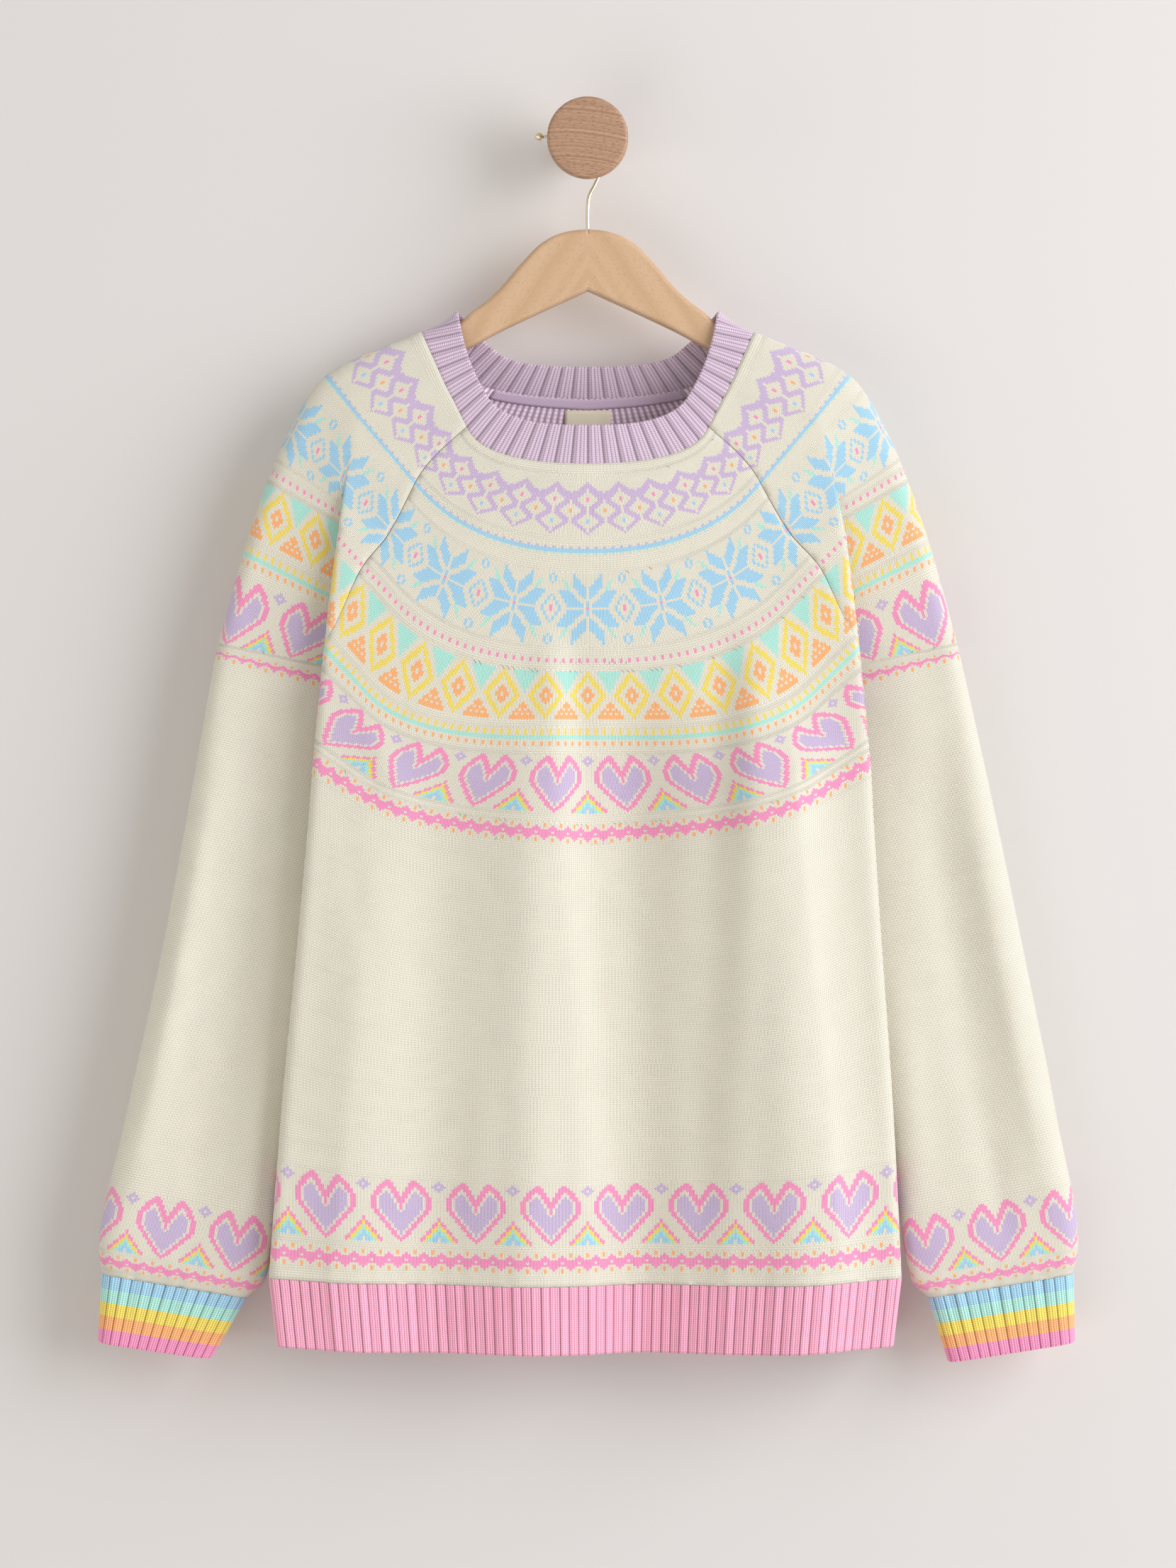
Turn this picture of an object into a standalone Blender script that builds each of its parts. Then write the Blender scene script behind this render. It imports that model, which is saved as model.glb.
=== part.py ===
"""Patterned yoke jumper on a wooden hanger, hung from a round wall peg.

Metres, +Z up. The front of the jumper faces -Y and the wall is the plane Y = 0. The origin is the centre
of the peg's rear face. The cloth is worked out in rows: a row is a line of stitches that lies the same
length of cloth below the neck seam all the way round, over the fronts, the sleeves and the back.
"""
import math

import bmesh
import bpy
import numpy as np

WALL = 0.0024
SEAM_GAP = 0.0003
RIM_EASE = 0.0016
UNDERARM_GAP = 0.0022
TANGENT_REACH = 0.003
MID_Y = -0.037
UNDERARM_ROW = 0.231
HEM_ROW = 0.505

# Front half of each row, from the centre front to the top of the sleeve. "edge" is the front fold where the
# body hides the sleeve, "flap" that fold's thickness, "tuck" the hidden fold behind it, "outer" the sleeve's
# outer edge and "seam" the raglan seam: 0 to 1 on the way to the edge, 1 to 2 on the way to the tuck.
ROW_COLUMNS = (
    "row", "centre_z", "bend_x", "bend_z", "edge_x", "edge_y", "edge_z", "flap",
    "tuck_x", "tuck_y", "tuck_z", "outer_x", "outer_z", "depth", "seam",
)
ROWS = (
    (0.000, -0.2010, 0.063, -0.2010, 0.085, -0.053, -0.157, 0.000,
     0.086, -0.053, -0.156, 0.103, -0.118, 0.009, 0.78),
    (0.055, -0.2565, 0.070, -0.2565, 0.140, -0.055, -0.174, 0.000,
     0.141, -0.055, -0.173, 0.163, -0.146, 0.009, 0.70),
    (0.090, -0.2906, 0.075, -0.2906, 0.149, -0.057, -0.212, 0.001,
     0.149, -0.056, -0.210, 0.183, -0.176, 0.011, 0.77),
    (0.121, -0.3220, 0.085, -0.3220, 0.154, -0.059, -0.246, 0.006,
     0.140, -0.053, -0.239, 0.196, -0.205, 0.012, 0.86),
    (0.168, -0.3690, 0.110, -0.3690, 0.162, -0.060, -0.314, 0.011,
     0.132, -0.048, -0.295, 0.213, -0.255, 0.013, 1.00),
    (0.231, -0.4315, 0.110, -0.4240, 0.169, -0.060, -0.387, 0.012,
     0.118, -0.040, -0.347, 0.230, -0.317, 0.013, 2.00),
    (0.254, -0.4540, 0.112, -0.4475, 0.171, -0.060, -0.413, 0.012,
     0.120, -0.039, -0.375, 0.230, -0.317, 0.013, 2.00),
    (0.323, -0.5230, 0.115, -0.5190, 0.178, -0.060, -0.491, 0.012,
     0.143, -0.038, -0.466, 0.230, -0.317, 0.013, 2.00),
    (0.414, -0.6140, 0.120, -0.6110, 0.188, -0.058, -0.596, 0.016,
     0.170, -0.038, -0.585, 0.230, -0.317, 0.013, 2.00),
    (0.505, -0.7060, 0.125, -0.7050, 0.196, -0.055, -0.701, 0.020,
     0.193, -0.038, -0.700, 0.230, -0.317, 0.013, 2.00),
)
# The back hangs nearly level: the height of each row at the centre back and at its fold.
BACK_COLUMNS = ("row", "centre_z", "bend_x", "bend_z", "edge_z")
BACK_ROWS = (
    (0.000, -0.158, 0.055, -0.156, -0.140),
    (0.055, -0.212, 0.060, -0.209, -0.172),
    (0.121, -0.280, 0.075, -0.276, -0.244),
    (0.168, -0.328, 0.090, -0.324, -0.303),
    (0.231, -0.394, 0.100, -0.392, -0.377),
    (0.323, -0.498, 0.110, -0.497, -0.487),
    (0.505, -0.706, 0.125, -0.705, -0.701),
)
FRONT_Y = -0.066
NECK_FRONT_Y = -0.062
BACK_Y = -0.009
NECK_BACK_Y = -0.016
# How much cloth each corner of a row is rounded over: bend, edge, flap, tuck, outer edge.
ROUNDING = (0.070, 0.007, 0.007, 0.009, 0.012)
RIGHT_FOLD_OUT = 0.005

# The sleeve below the underarm, by share of its length: outer and inner edge, half depth, and how far the
# cloth stands off the middle near the inner edge.
SLEEVE_COLUMNS = ("share", "outer_x", "outer_z", "inner_x", "inner_z", "depth", "near_depth")
SLEEVE_ROWS = (
    (0.00, 0.2300, -0.317, 0.1180, -0.347, 0.0130, 0.0015),
    (0.25, 0.2470, -0.413, 0.1410, -0.439, 0.0135, 0.0050),
    (0.50, 0.2650, -0.509, 0.1640, -0.531, 0.0140, 0.0080),
    (0.75, 0.2855, -0.603, 0.1860, -0.624, 0.0150, 0.0105),
    (0.95, 0.3020, -0.685, 0.1995, -0.704, 0.0150, 0.0120),
    (1.00, 0.3005, -0.700, 0.2105, -0.715, 0.0120, 0.0105),
)
RIGHT_SLEEVE_BOW = 0.006
CUFF_DEPTH = 0.0130
CUFF_HEIGHT = 0.040
CUFF_BOTTOM = {
    "left": ((0.3030, -0.741), (0.2320, -0.752)),
    "right": ((0.3015, -0.741), (0.2225, -0.754)),
}

# Soft vertical folds: where each is at the yoke and at the hem, its width, its height towards the viewer
# (below zero is a trough) and the height at which it starts.
FOLD_COLUMNS = ("x_yoke", "x_hem", "width", "height", "starts_z")
FRONT_FOLDS = (
    (-0.140, -0.150, 0.026, 0.0045, -0.380),
    (-0.088, -0.098, 0.026, -0.0060, -0.330),
    (-0.030, -0.036, 0.024, 0.0070, -0.290),
    (0.020, 0.030, 0.025, -0.0100, -0.290),
    (0.090, 0.114, 0.030, 0.0080, -0.280),
)
BACK_FOLDS = (
    (-0.095, -0.112, 0.030, 0.0040, -0.360),
    (-0.040, -0.052, 0.024, -0.0050, -0.310),
    (0.012, 0.020, 0.028, 0.0045, -0.280),
    (0.070, 0.082, 0.024, -0.0055, -0.330),
    (0.118, 0.136, 0.026, 0.0035, -0.400),
)
FOLD_GROWTH = 0.150

NECK_HEIGHT = 0.022
NECK_TOP = {
    "front_y": -0.060, "front_z": -0.178, "side_x": 0.082, "side_z": -0.1055,
    "back_y": -0.017, "back_z": -0.139,
}
RIB_DEPTH = 0.0011
RIBS = {"neck": 58, "hem": 148, "cuff": 30}
RIB_HALF_GROOVE = {"neck": 0.0014, "hem": 0.0010, "cuff": 0.0012}

TAPE_WIDTH = 0.0064
TAPE_THICKNESS = 0.0008
LABEL_SIZE = (0.0287, 0.0200, 0.0006)

HANGER_THICKNESS = 0.012
HANGER_ROUNDING = 0.0025
HANGER_TOP = (
    (0.0000, -0.0549), (0.0100, -0.0557), (0.0190, -0.0581), (0.0260, -0.0617), (0.0325, -0.0668),
    (0.0435, -0.0786), (0.0530, -0.0900), (0.0625, -0.0990), (0.0720, -0.1060), (0.0800, -0.1131),
    (0.1030, -0.1270), (0.1350, -0.1395), (0.1540, -0.1495),
)
HANGER_END = ((0.1600, -0.1560), (0.1560, -0.1640))
HANGER_UNDERSIDE = (
    (0.1400, -0.1600), (0.1100, -0.1475), (0.0730, -0.1282), (0.0550, -0.1185), (0.0330, -0.1080),
    (0.0000, -0.0928),
)

PEG_DISC_RADIUS = 0.025
PEG_DISC_THICKNESS = 0.012
PEG_DISC_ROUNDING = 0.0012
PEG_SHAFT_RADIUS = 0.009
PEG_SHAFT_LENGTH = 0.0465
WIRE_RADIUS = 0.0012
HOOK_RADIUS = PEG_SHAFT_RADIUS + SEAM_GAP + WIRE_RADIUS
HOOK_TIP = (-0.0290, 0.0030)
HOOK_BALL_RADIUS = 0.0029

COLOURS = {
    "cream_wool": ((0.871, 0.838, 0.745), 0.95, 0.0),
    "lavender_wool": ((0.578, 0.445, 0.701), 0.95, 0.0),
    "pink_wool": ((0.913, 0.328, 0.545), 0.95, 0.0),
    "blue_wool": ((0.263, 0.515, 0.745), 0.95, 0.0),
    "label_weave": ((0.807, 0.680, 0.479), 0.90, 0.0),
    "beech": ((0.716, 0.479, 0.283), 0.55, 0.0),
    "ash_wood": ((0.515, 0.283, 0.162), 0.60, 0.0),
    "brass": ((0.680, 0.578, 0.350), 0.30, 1.0),
}


def clear_scene():
    for thing in list(bpy.data.objects):
        bpy.data.objects.remove(thing, do_unlink=True)


def material(name):
    colour, roughness, metallic = COLOURS[name]
    made = bpy.data.materials.get(name) or bpy.data.materials.new(name)
    made.use_nodes = True
    shader = made.node_tree.nodes["Principled BSDF"]
    shader.inputs["Base Color"].default_value = (*colour, 1.0)
    shader.inputs["Roughness"].default_value = roughness
    shader.inputs["Metallic"].default_value = metallic
    return made


def smooth_lookup(table, columns, value):
    """The table's columns at a value of its first column, on curves that never overshoot a row."""
    data = np.array(table)
    keys = data[:, 0]
    steps = np.diff(keys)[:, None]
    rises = np.diff(data, axis=0) / steps
    slopes = np.zeros_like(data)
    slopes[0], slopes[-1] = rises[0], rises[-1]
    before, after = rises[:-1], rises[1:]
    agree = before * after > 0
    total = np.where(agree, before + after, 1.0)
    slopes[1:-1] = np.where(agree, 2 * before * after / total, 0.0)
    value = min(max(value, keys[0]), keys[-1])
    i = min(int(np.searchsorted(keys, value, side="right")) - 1, len(keys) - 2)
    width = keys[i + 1] - keys[i]
    t = (value - keys[i]) / width
    found = (
        (1 + 2 * t) * (1 - t) ** 2 * data[i]
        + t * (1 - t) ** 2 * width * slopes[i]
        + t * t * (3 - 2 * t) * data[i + 1]
        + t * t * (t - 1) * width * slopes[i + 1]
    )
    return dict(zip(columns, found))


def rounded_path(corners, cuts, samples=9):
    """A polyline through the corners, each rounded over its cut of length. Also each corner's own place."""
    corners = [np.array(corner, float) for corner in corners]
    points = [corners[0]]
    middles = [0]
    last = len(corners) - 2
    for i, cut in enumerate(cuts, start=1):
        corner = corners[i]
        back, ahead = corners[i - 1] - corner, corners[i + 1] - corner
        back_length = max(np.linalg.norm(back), 1e-9)
        ahead_length = max(np.linalg.norm(ahead), 1e-9)
        start = corner + back / back_length * min(cut, (0.98 if i == 1 else 0.49) * back_length)
        end = corner + ahead / ahead_length * min(cut, (0.98 if i == last else 0.49) * ahead_length)
        for k in range(samples):
            t = k / (samples - 1)
            points.append((1 - t) ** 2 * start + 2 * t * (1 - t) * corner + t * t * end)
        middles.append(len(points) - 1 - samples // 2)
    points.append(corners[-1])
    points = np.array(points)
    lengths = np.concatenate([[0.0], np.cumsum(np.linalg.norm(np.diff(points, axis=0), axis=1))])
    return points, lengths, lengths[middles]


def along(points, lengths, places):
    return np.stack([np.interp(places, lengths, points[:, k]) for k in range(3)], axis=-1)


def row_loop(row, side):
    """Half of a row, from the centre front over the sleeve's outer edge to the centre back, and its seams."""
    f = smooth_lookup(ROWS, ROW_COLUMNS, row)
    b = smooth_lookup(BACK_ROWS, BACK_COLUMNS, row)
    settled = min(1.0, row / 0.09)
    front_y = NECK_FRONT_Y + (FRONT_Y - NECK_FRONT_Y) * settled
    back_y = NECK_BACK_Y + (BACK_Y - NECK_BACK_Y) * settled
    out = RIGHT_FOLD_OUT * min(1.0, max(0.0, (row - 0.055) / 0.066)) if side == "right" else 0.0
    out *= 1.0 - min(1.0, max(0.0, (row - UNDERARM_ROW) / (HEM_ROW - UNDERARM_ROW))) * 1.6
    edge_x = f["edge_x"] + out
    half = f["flap"] / 2
    back_edge_y = 2 * MID_Y - f["edge_y"]
    tuck = (f["tuck_x"], f["tuck_y"], f["tuck_z"])
    tuck_back = (f["tuck_x"], 2 * MID_Y - f["tuck_y"], f["tuck_z"])
    front = [
        (0.0, front_y, f["centre_z"]),
        (f["bend_x"], front_y + 0.001, f["bend_z"]),
        (edge_x, f["edge_y"] - half, f["edge_z"]),
        (edge_x, f["edge_y"] + half, f["edge_z"]),
        tuck,
    ]
    back = [
        tuck_back,
        (edge_x, back_edge_y - half, b["edge_z"]),
        (edge_x, back_edge_y + half, b["edge_z"]),
        (b["bend_x"], back_y, b["bend_z"]),
        (0.0, back_y, b["centre_z"]),
    ]
    bend, edge, flap, tuck_cut, outer = ROUNDING
    if row < UNDERARM_ROW - 1e-6:
        sleeve = [
            (f["outer_x"], MID_Y - f["depth"], f["outer_z"]),
            (f["outer_x"], MID_Y + f["depth"], f["outer_z"]),
        ]
        cuts = (bend, edge, flap, tuck_cut, outer, outer, tuck_cut, flap, edge, bend)
    else:
        sleeve = []
        cuts = (bend, edge, flap, tuck_cut, tuck_cut, flap, edge, bend)
    points, lengths, at = rounded_path(front + sleeve + back, cuts)
    edge_at, back_edge_at = 0.5 * (at[2] + at[3]), 0.5 * (at[-2] + at[-3])
    tuck_at, back_tuck_at = at[4], at[-4]
    if f["seam"] <= 1.0:
        front_seam = f["seam"] * edge_at
        back_seam = lengths[-1] - f["seam"] * (lengths[-1] - back_edge_at)
    else:
        front_seam = edge_at + (f["seam"] - 1.0) * (tuck_at - edge_at)
        back_seam = back_edge_at - (f["seam"] - 1.0) * (back_edge_at - back_tuck_at)
    marks = []
    if f["flap"] > 0.002:
        marks = [edge_at, back_edge_at]
    if tuck_at - edge_at > 0.010:
        marks = [edge_at, tuck_at, back_tuck_at, back_edge_at]
    return points, lengths, front_seam, back_seam, marks


def on_folds(shares, marks, start, end):
    """Places from start to end by share, shifted so that a column lies on each fold that is between them."""
    keys, places = [0.0], [start]
    used = 0
    for mark in sorted(marks, reverse=start > end):
        share = (mark - start) / (end - start)
        if 0.02 < share < 0.98:
            nearest = used + 1 + int(np.argmin(np.abs(shares[used + 1:-1] - share)))
            keys.append(shares[nearest])
            places.append(mark)
            used = nearest
    return np.interp(shares, keys + [1.0], places + [end])


def fold_relief(folds, x, z):
    """How far the soft vertical folds stand towards the viewer at each place."""
    total = np.zeros_like(x)
    for fold in folds:
        f = dict(zip(FOLD_COLUMNS, fold))
        down = np.clip((f["starts_z"] - z) / (f["starts_z"] + 0.706), 0.0, 1.0)
        centre = f["x_yoke"] + (f["x_hem"] - f["x_yoke"]) * down
        grown = np.clip((f["starts_z"] - z) / FOLD_GROWTH, 0.0, 1.0)
        grown = grown * grown * (3 - 2 * grown)
        total += f["height"] * grown * np.exp(-(((x - centre) / f["width"]) ** 2))
    return total


def tangents(place, places):
    """The direction of a row of cloth at each place, taken over a few stitches on both sides of it."""
    return place(places + TANGENT_REACH) - place(places - TANGENT_REACH)


def mirrored(points, across):
    """The same points on the other side, in reverse order so that columns still run to the right."""
    flip = np.array([-1.0, 1.0, 1.0])
    return points[..., ::-1, :] * flip, -across[..., ::-1, :] * flip


def body_row(row, side, shares, which):
    """A body panel's row at shares of the way from its centre line to its seam, towards +X."""
    points, lengths, front_seam, back_seam, marks = row_loop(row, side)
    sign = 1.0 if side == "right" else -1.0
    edge = smooth_lookup(ROWS, ROW_COLUMNS, row)["edge_x"]
    folds, start, end, lift = FRONT_FOLDS, 0.0, front_seam - SEAM_GAP / 2, -1.0
    if which == "back":
        folds, start, end, lift = BACK_FOLDS, lengths[-1], back_seam + SEAM_GAP / 2, 1.0

    def place(places):
        found = along(points, lengths, places)
        window = np.clip((edge - 0.010 - found[:, 0]) / 0.030, 0.0, 1.0)
        window *= np.abs(found[:, 1] - MID_Y) > 0.018
        found[:, 1] += fold_relief(folds, sign * found[:, 0], found[:, 2]) * window * lift
        return found

    places = on_folds(np.array(shares), marks, start, end)
    across = tangents(place, places)
    return place(places), across if which == "front" else -across


def body_panel(which, rows, shares):
    """The front or the back: rows from the neck seam down, columns from left to right seen from the front."""
    grid, across = [], []
    for row in rows:
        right, right_across = body_row(row, "right", shares, which)
        left, left_across = mirrored(*body_row(row, "left", shares, which))
        grid.append(np.concatenate([left[:-1], right]))
        across.append(np.concatenate([left_across[:-1], right_across]))
    return np.array(grid), np.array(across)


def sleeve_section(share, side):
    """A row of the sleeve below the underarm, from its underarm seam round the front and back to it."""
    s = smooth_lookup(SLEEVE_ROWS, SLEEVE_COLUMNS, share)
    bow = RIGHT_SLEEVE_BOW * math.sin(math.pi * min(share, 1.0)) if side == "right" else 0.0
    outer = np.array([s["outer_x"] + bow, 0.0, s["outer_z"]])
    inner = np.array([s["inner_x"] + bow * 0.5, 0.0, s["inner_z"]])
    return oval_section(outer, inner, s["depth"], s["near_depth"])


def oval_section(outer, inner, depth, near_depth):
    """A flat oval from its inner edge round the front, the outer edge and the back."""
    towards = (outer - inner) / np.linalg.norm(outer - inner)
    near = inner + towards * 0.012
    middle = np.array([0.0, MID_Y, 0.0])
    deep = np.array([0.0, 1.0, 0.0])
    corners = [
        inner + middle - deep * 0.0005,
        near + middle - deep * near_depth,
        outer + middle - deep * depth,
        outer + middle + deep * depth,
        near + middle + deep * near_depth,
        inner + middle + deep * 0.0005,
    ]
    if near_depth > 0.006:
        corners.insert(1, inner + middle - deep * near_depth * 0.7)
        corners.insert(-1, inner + middle + deep * near_depth * 0.7)
        cuts = (0.010, 0.010, 0.012, 0.012, 0.010, 0.010)
    else:
        cuts = (0.010, 0.012, 0.012, 0.010)
    points, lengths, _ = rounded_path(corners, cuts)
    return points, lengths


def sleeve_panel(side, yoke_rows, lower_shares, columns):
    """A sleeve: its yoke part between the raglan seams, then the tube to the cuff, front seam edge first."""
    grid, across = [], []
    columns = np.array(columns)

    def add(points, lengths, start, end, gap=SEAM_GAP, marks=()):
        def place(places):
            return along(points, lengths, places)

        places = on_folds(columns, marks, start + gap / 2, end - gap / 2)
        grid.append(place(places))
        across.append(tangents(place, places))

    for row in yoke_rows:
        points, lengths, front_seam, back_seam, marks = row_loop(row, side)
        near = max(0.0, (row - 0.200) / (UNDERARM_ROW - 0.200))
        add(points, lengths, front_seam, back_seam, SEAM_GAP + (UNDERARM_GAP - SEAM_GAP) * near, marks)
    for share in lower_shares:
        points, lengths = sleeve_section(share, side)
        add(points, lengths, 0.0, lengths[-1])
    if side == "left":
        return mirrored(np.array(grid), np.array(across))
    return np.array(grid), np.array(across)


def outward(grid, across):
    """Unit normals of a grid of points whose rows go down and whose columns go to the right."""
    normal = np.cross(np.gradient(grid, axis=0), across)
    return normal / np.maximum(np.linalg.norm(normal, axis=-1, keepdims=True), 1e-12)


def add_mesh(name, points, faces, look):
    """An object from points and faces, with its faces turned outwards."""
    mesh = bmesh.new()
    vertices = [mesh.verts.new(point) for point in points]
    for face in faces:
        mesh.faces.new([vertices[i] for i in face])
    bmesh.ops.recalc_face_normals(mesh, faces=mesh.faces)
    data = bpy.data.meshes.new(name)
    mesh.to_mesh(data)
    mesh.free()
    data.materials.append(material(look))
    made = bpy.data.objects.new(name, data)
    bpy.context.scene.collection.objects.link(made)
    return made


def eased(inner, ring=False):
    """The inner points with those of each rim drawn in a little, so that neighbours stay apart inside too."""
    found = inner.copy()
    for rim, beside in ((0, 1), (-1, -2)):
        step = inner[beside] - inner[rim]
        found[rim] += step / np.linalg.norm(step, axis=-1, keepdims=True) * RIM_EASE
        if not ring:
            step = inner[:, beside] - inner[:, rim]
            found[:, rim] += step / np.linalg.norm(step, axis=-1, keepdims=True) * RIM_EASE
    return found


def wall_sheet(name, panel, look):
    """A closed wall from a panel's outer points: the same points moved in by its thickness, and four rims."""
    grid, across = panel
    inner = eased(grid - outward(grid, across) * WALL)
    rows, columns = grid.shape[:2]
    points = np.concatenate([grid.reshape(-1, 3), inner.reshape(-1, 3)])
    back = rows * columns
    faces = []
    for j in range(rows - 1):
        for i in range(columns - 1):
            a = j * columns + i
            quad = (a, a + 1, a + columns + 1, a + columns)
            faces.append(quad)
            faces.append(tuple(back + k for k in reversed(quad)))
    rim = [i for i in range(columns)]
    rim += [j * columns + columns - 1 for j in range(1, rows)]
    rim += [(rows - 1) * columns + i for i in range(columns - 2, -1, -1)]
    rim += [j * columns for j in range(rows - 2, 0, -1)]
    for a, b in zip(rim, rim[1:] + rim[:1]):
        faces.append((a, back + a, back + b, b))
    return add_mesh(name, points, faces, look)


def ribbed_ring(name, rows, ribs, half_groove, look):
    """A closed band of ribs from loops of points: the ribs are outside, and the inside is plain."""
    outer, inner = [], []
    for loop in rows:
        closed = np.concatenate([loop, loop[:1]])
        lengths = np.concatenate([[0.0], np.cumsum(np.linalg.norm(np.diff(closed, axis=0), axis=1))])
        pitch = lengths[-1] / ribs
        groove = np.arange(ribs) * pitch
        places = np.stack([groove, groove + half_groove, groove + pitch - half_groove], axis=1)
        outer.append(along(closed, lengths, places.reshape(-1)))
        inner.append(along(closed, lengths, groove))
    outer, inner = np.array(outer), np.array(inner)
    normal = outward(outer, np.roll(outer, -1, axis=1) - np.roll(outer, 1, axis=1))
    inner = eased(inner - normal[:, ::3] * WALL, ring=True)
    outer[:, ::3] -= normal[:, ::3] * RIB_DEPTH
    count, many = len(rows), 3 * ribs
    points = np.concatenate([outer.reshape(-1, 3), inner.reshape(-1, 3)])
    back = count * many
    faces = []
    for j in range(count - 1):
        for i in range(many):
            after = (i + 1) % many
            faces.append((j * many + i, j * many + after, (j + 1) * many + after, (j + 1) * many + i))
        for k in range(ribs):
            after = (k + 1) % ribs
            a, b = back + j * ribs + k, back + j * ribs + after
            faces.append((a, a + ribs, b + ribs, b))
    for j in (0, count - 1):
        for k in range(ribs):
            after = (k + 1) % ribs
            first = j * many + 3 * k
            edge = (first, first + 1, first + 2, j * many + 3 * after)
            faces.append(edge + (back + j * ribs + after, back + j * ribs + k))
    return add_mesh(name, points, faces, look)


def moved(loop, drop, pull_in=0.0):
    """A loop of the hem let down, and drawn in at the sides."""
    found = loop.copy()
    found[:, 2] -= drop
    found[:, 0] *= 1.0 - pull_in / 0.196
    return found


def make_hem(front_end, back_end):
    """The hem rib hangs from the last rows of the two panels."""
    seam = np.concatenate([front_end, back_end])
    rows = [moved(seam, SEAM_GAP), moved(seam, 0.020, 0.006), moved(seam, 0.041, 0.005)]
    ribbed_ring("hem_rib", rows, RIBS["hem"], RIB_HALF_GROOVE["hem"], "pink_wool")


def evenly(loop, count):
    """Points at even steps round a closed loop, from its first point."""
    closed = np.concatenate([loop, loop[:1]])
    lengths = np.concatenate([[0.0], np.cumsum(np.linalg.norm(np.diff(closed, axis=0), axis=1))])
    return along(closed, lengths, np.arange(count) * lengths[-1] / count)


def by_quarters(loop, count):
    """Points round a neck loop from its centre back, as many in each quarter: side, front, side, back."""
    closed = np.concatenate([loop, loop[:1]])
    off_middle = np.abs(loop[:, 1] - MID_Y)
    left = int(np.argmin(off_middle + (loop[:, 0] > 0)))
    right = int(np.argmin(off_middle + (loop[:, 0] < 0)))
    ends = [0, left, int(np.argmin(loop[:, 2])), right, len(loop)]
    found = []
    for first, last in zip(ends, ends[1:]):
        part = closed[first:last + 1]
        lengths = np.concatenate([[0.0], np.cumsum(np.linalg.norm(np.diff(part, axis=0), axis=1))])
        found.append(along(part, lengths, np.arange(count) * lengths[-1] / count))
    return np.concatenate(found)


def make_neckband(front_end, back_end, sleeve_ends):
    """The band stands on the first rows of the four panels, starting at the centre back."""
    middle = len(back_end) // 2
    seam = np.concatenate([
        back_end[middle:], sleeve_ends["left"], front_end, sleeve_ends["right"], back_end[:middle],
    ])
    top = NECK_TOP
    corners = [
        (0.0, top["back_y"], top["back_z"]), (0.046, top["back_y"] - 0.001, top["back_z"]),
        (0.068, -0.024, -0.121), (top["side_x"], MID_Y + 0.009, top["side_z"]),
        (top["side_x"], MID_Y - 0.009, top["side_z"]), (0.074, -0.051, -0.140),
        (0.052, top["front_y"] + 0.002, top["front_z"]), (0.0, top["front_y"], top["front_z"]),
    ]
    points, lengths, _ = rounded_path(corners, (0.040, 0.020, 0.012, 0.012, 0.020, 0.045))
    half = along(points, lengths, np.linspace(0.0, lengths[-1], 121))
    left = half * np.array([-1.0, 1.0, 1.0])
    rim = np.concatenate([left, half[-2:0:-1]])
    seam, rim = by_quarters(seam, 60), by_quarters(rim, 60)
    rows = []
    for up in (1.0, 0.5, SEAM_GAP / NECK_HEIGHT):
        rows.append(seam * (1 - up) + rim * up)
    ribbed_ring("neckband", rows, RIBS["neck"], RIB_HALF_GROOVE["neck"], "lavender_wool")


def make_cuff(side, sleeve_end):
    """The cuff goes from the sleeve's last row to its own lower edge."""
    seam = smooth_lookup(SLEEVE_ROWS, SLEEVE_COLUMNS, 1.0)
    outer, inner = (np.array([x, 0.0, z]) for x, z in CUFF_BOTTOM[side])
    points, lengths = oval_section(outer, inner, CUFF_DEPTH, seam["near_depth"])
    loop = along(points, lengths, np.linspace(0.0, lengths[-1], 161)[:-1])
    if side == "left":
        loop = loop[::-1] * np.array([-1.0, 1.0, 1.0])
    seam, bottom = evenly(sleeve_end, 160), evenly(loop, 160)
    rows = []
    for down in (SEAM_GAP / CUFF_HEIGHT, 0.5, 1.0):
        rows.append(seam * (1 - down) + bottom * down)
    ribbed_ring(f"cuff_{side}", rows, RIBS["cuff"], RIB_HALF_GROOVE["cuff"], "blue_wool")


def make_cloth():
    yoke = [
        0.0, 0.020, 0.040, 0.060, 0.080, 0.098, 0.112, 0.126, 0.140,
        0.152, 0.164, 0.174, 0.184, 0.194, 0.204, 0.214, 0.223,
    ]
    yoke_end = [UNDERARM_ROW - 0.0002]
    body = [0.231, 0.254, 0.288, 0.323, 0.368, 0.414, 0.460, HEM_ROW]
    front_shares = [0.0, 0.10, 0.20, 0.30, 0.40, 0.50, 0.60, 0.68, 0.75, 0.81, 0.86, 0.91, 0.955, 1.0]
    front = body_panel("front", yoke + body, front_shares)
    back = body_panel("back", yoke + body, front_shares)
    back = (back[0][:, ::-1], -back[1][:, ::-1])
    wall_sheet("front", front, "cream_wool")
    wall_sheet("back", back, "cream_wool")
    make_hem(front[0][-1], back[0][-1])
    half = [0.0, 0.04, 0.08, 0.13, 0.19, 0.27, 0.36, 0.43, 0.47]
    columns = half + [0.5] + [1.0 - share for share in reversed(half)]
    lower = [0.10, 0.22, 0.36, 0.50, 0.64, 0.78, 0.90, 0.95, 1.0]
    sleeve_ends = {}
    for side in ("left", "right"):
        sleeve = sleeve_panel(side, yoke + yoke_end, lower, columns)
        wall_sheet(f"sleeve_{side}", sleeve, "cream_wool")
        sleeve_ends[side] = sleeve[0][0]
        make_cuff(side, sleeve[0][-1])
    make_neckband(front[0][0], back[0][0], sleeve_ends)


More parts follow.
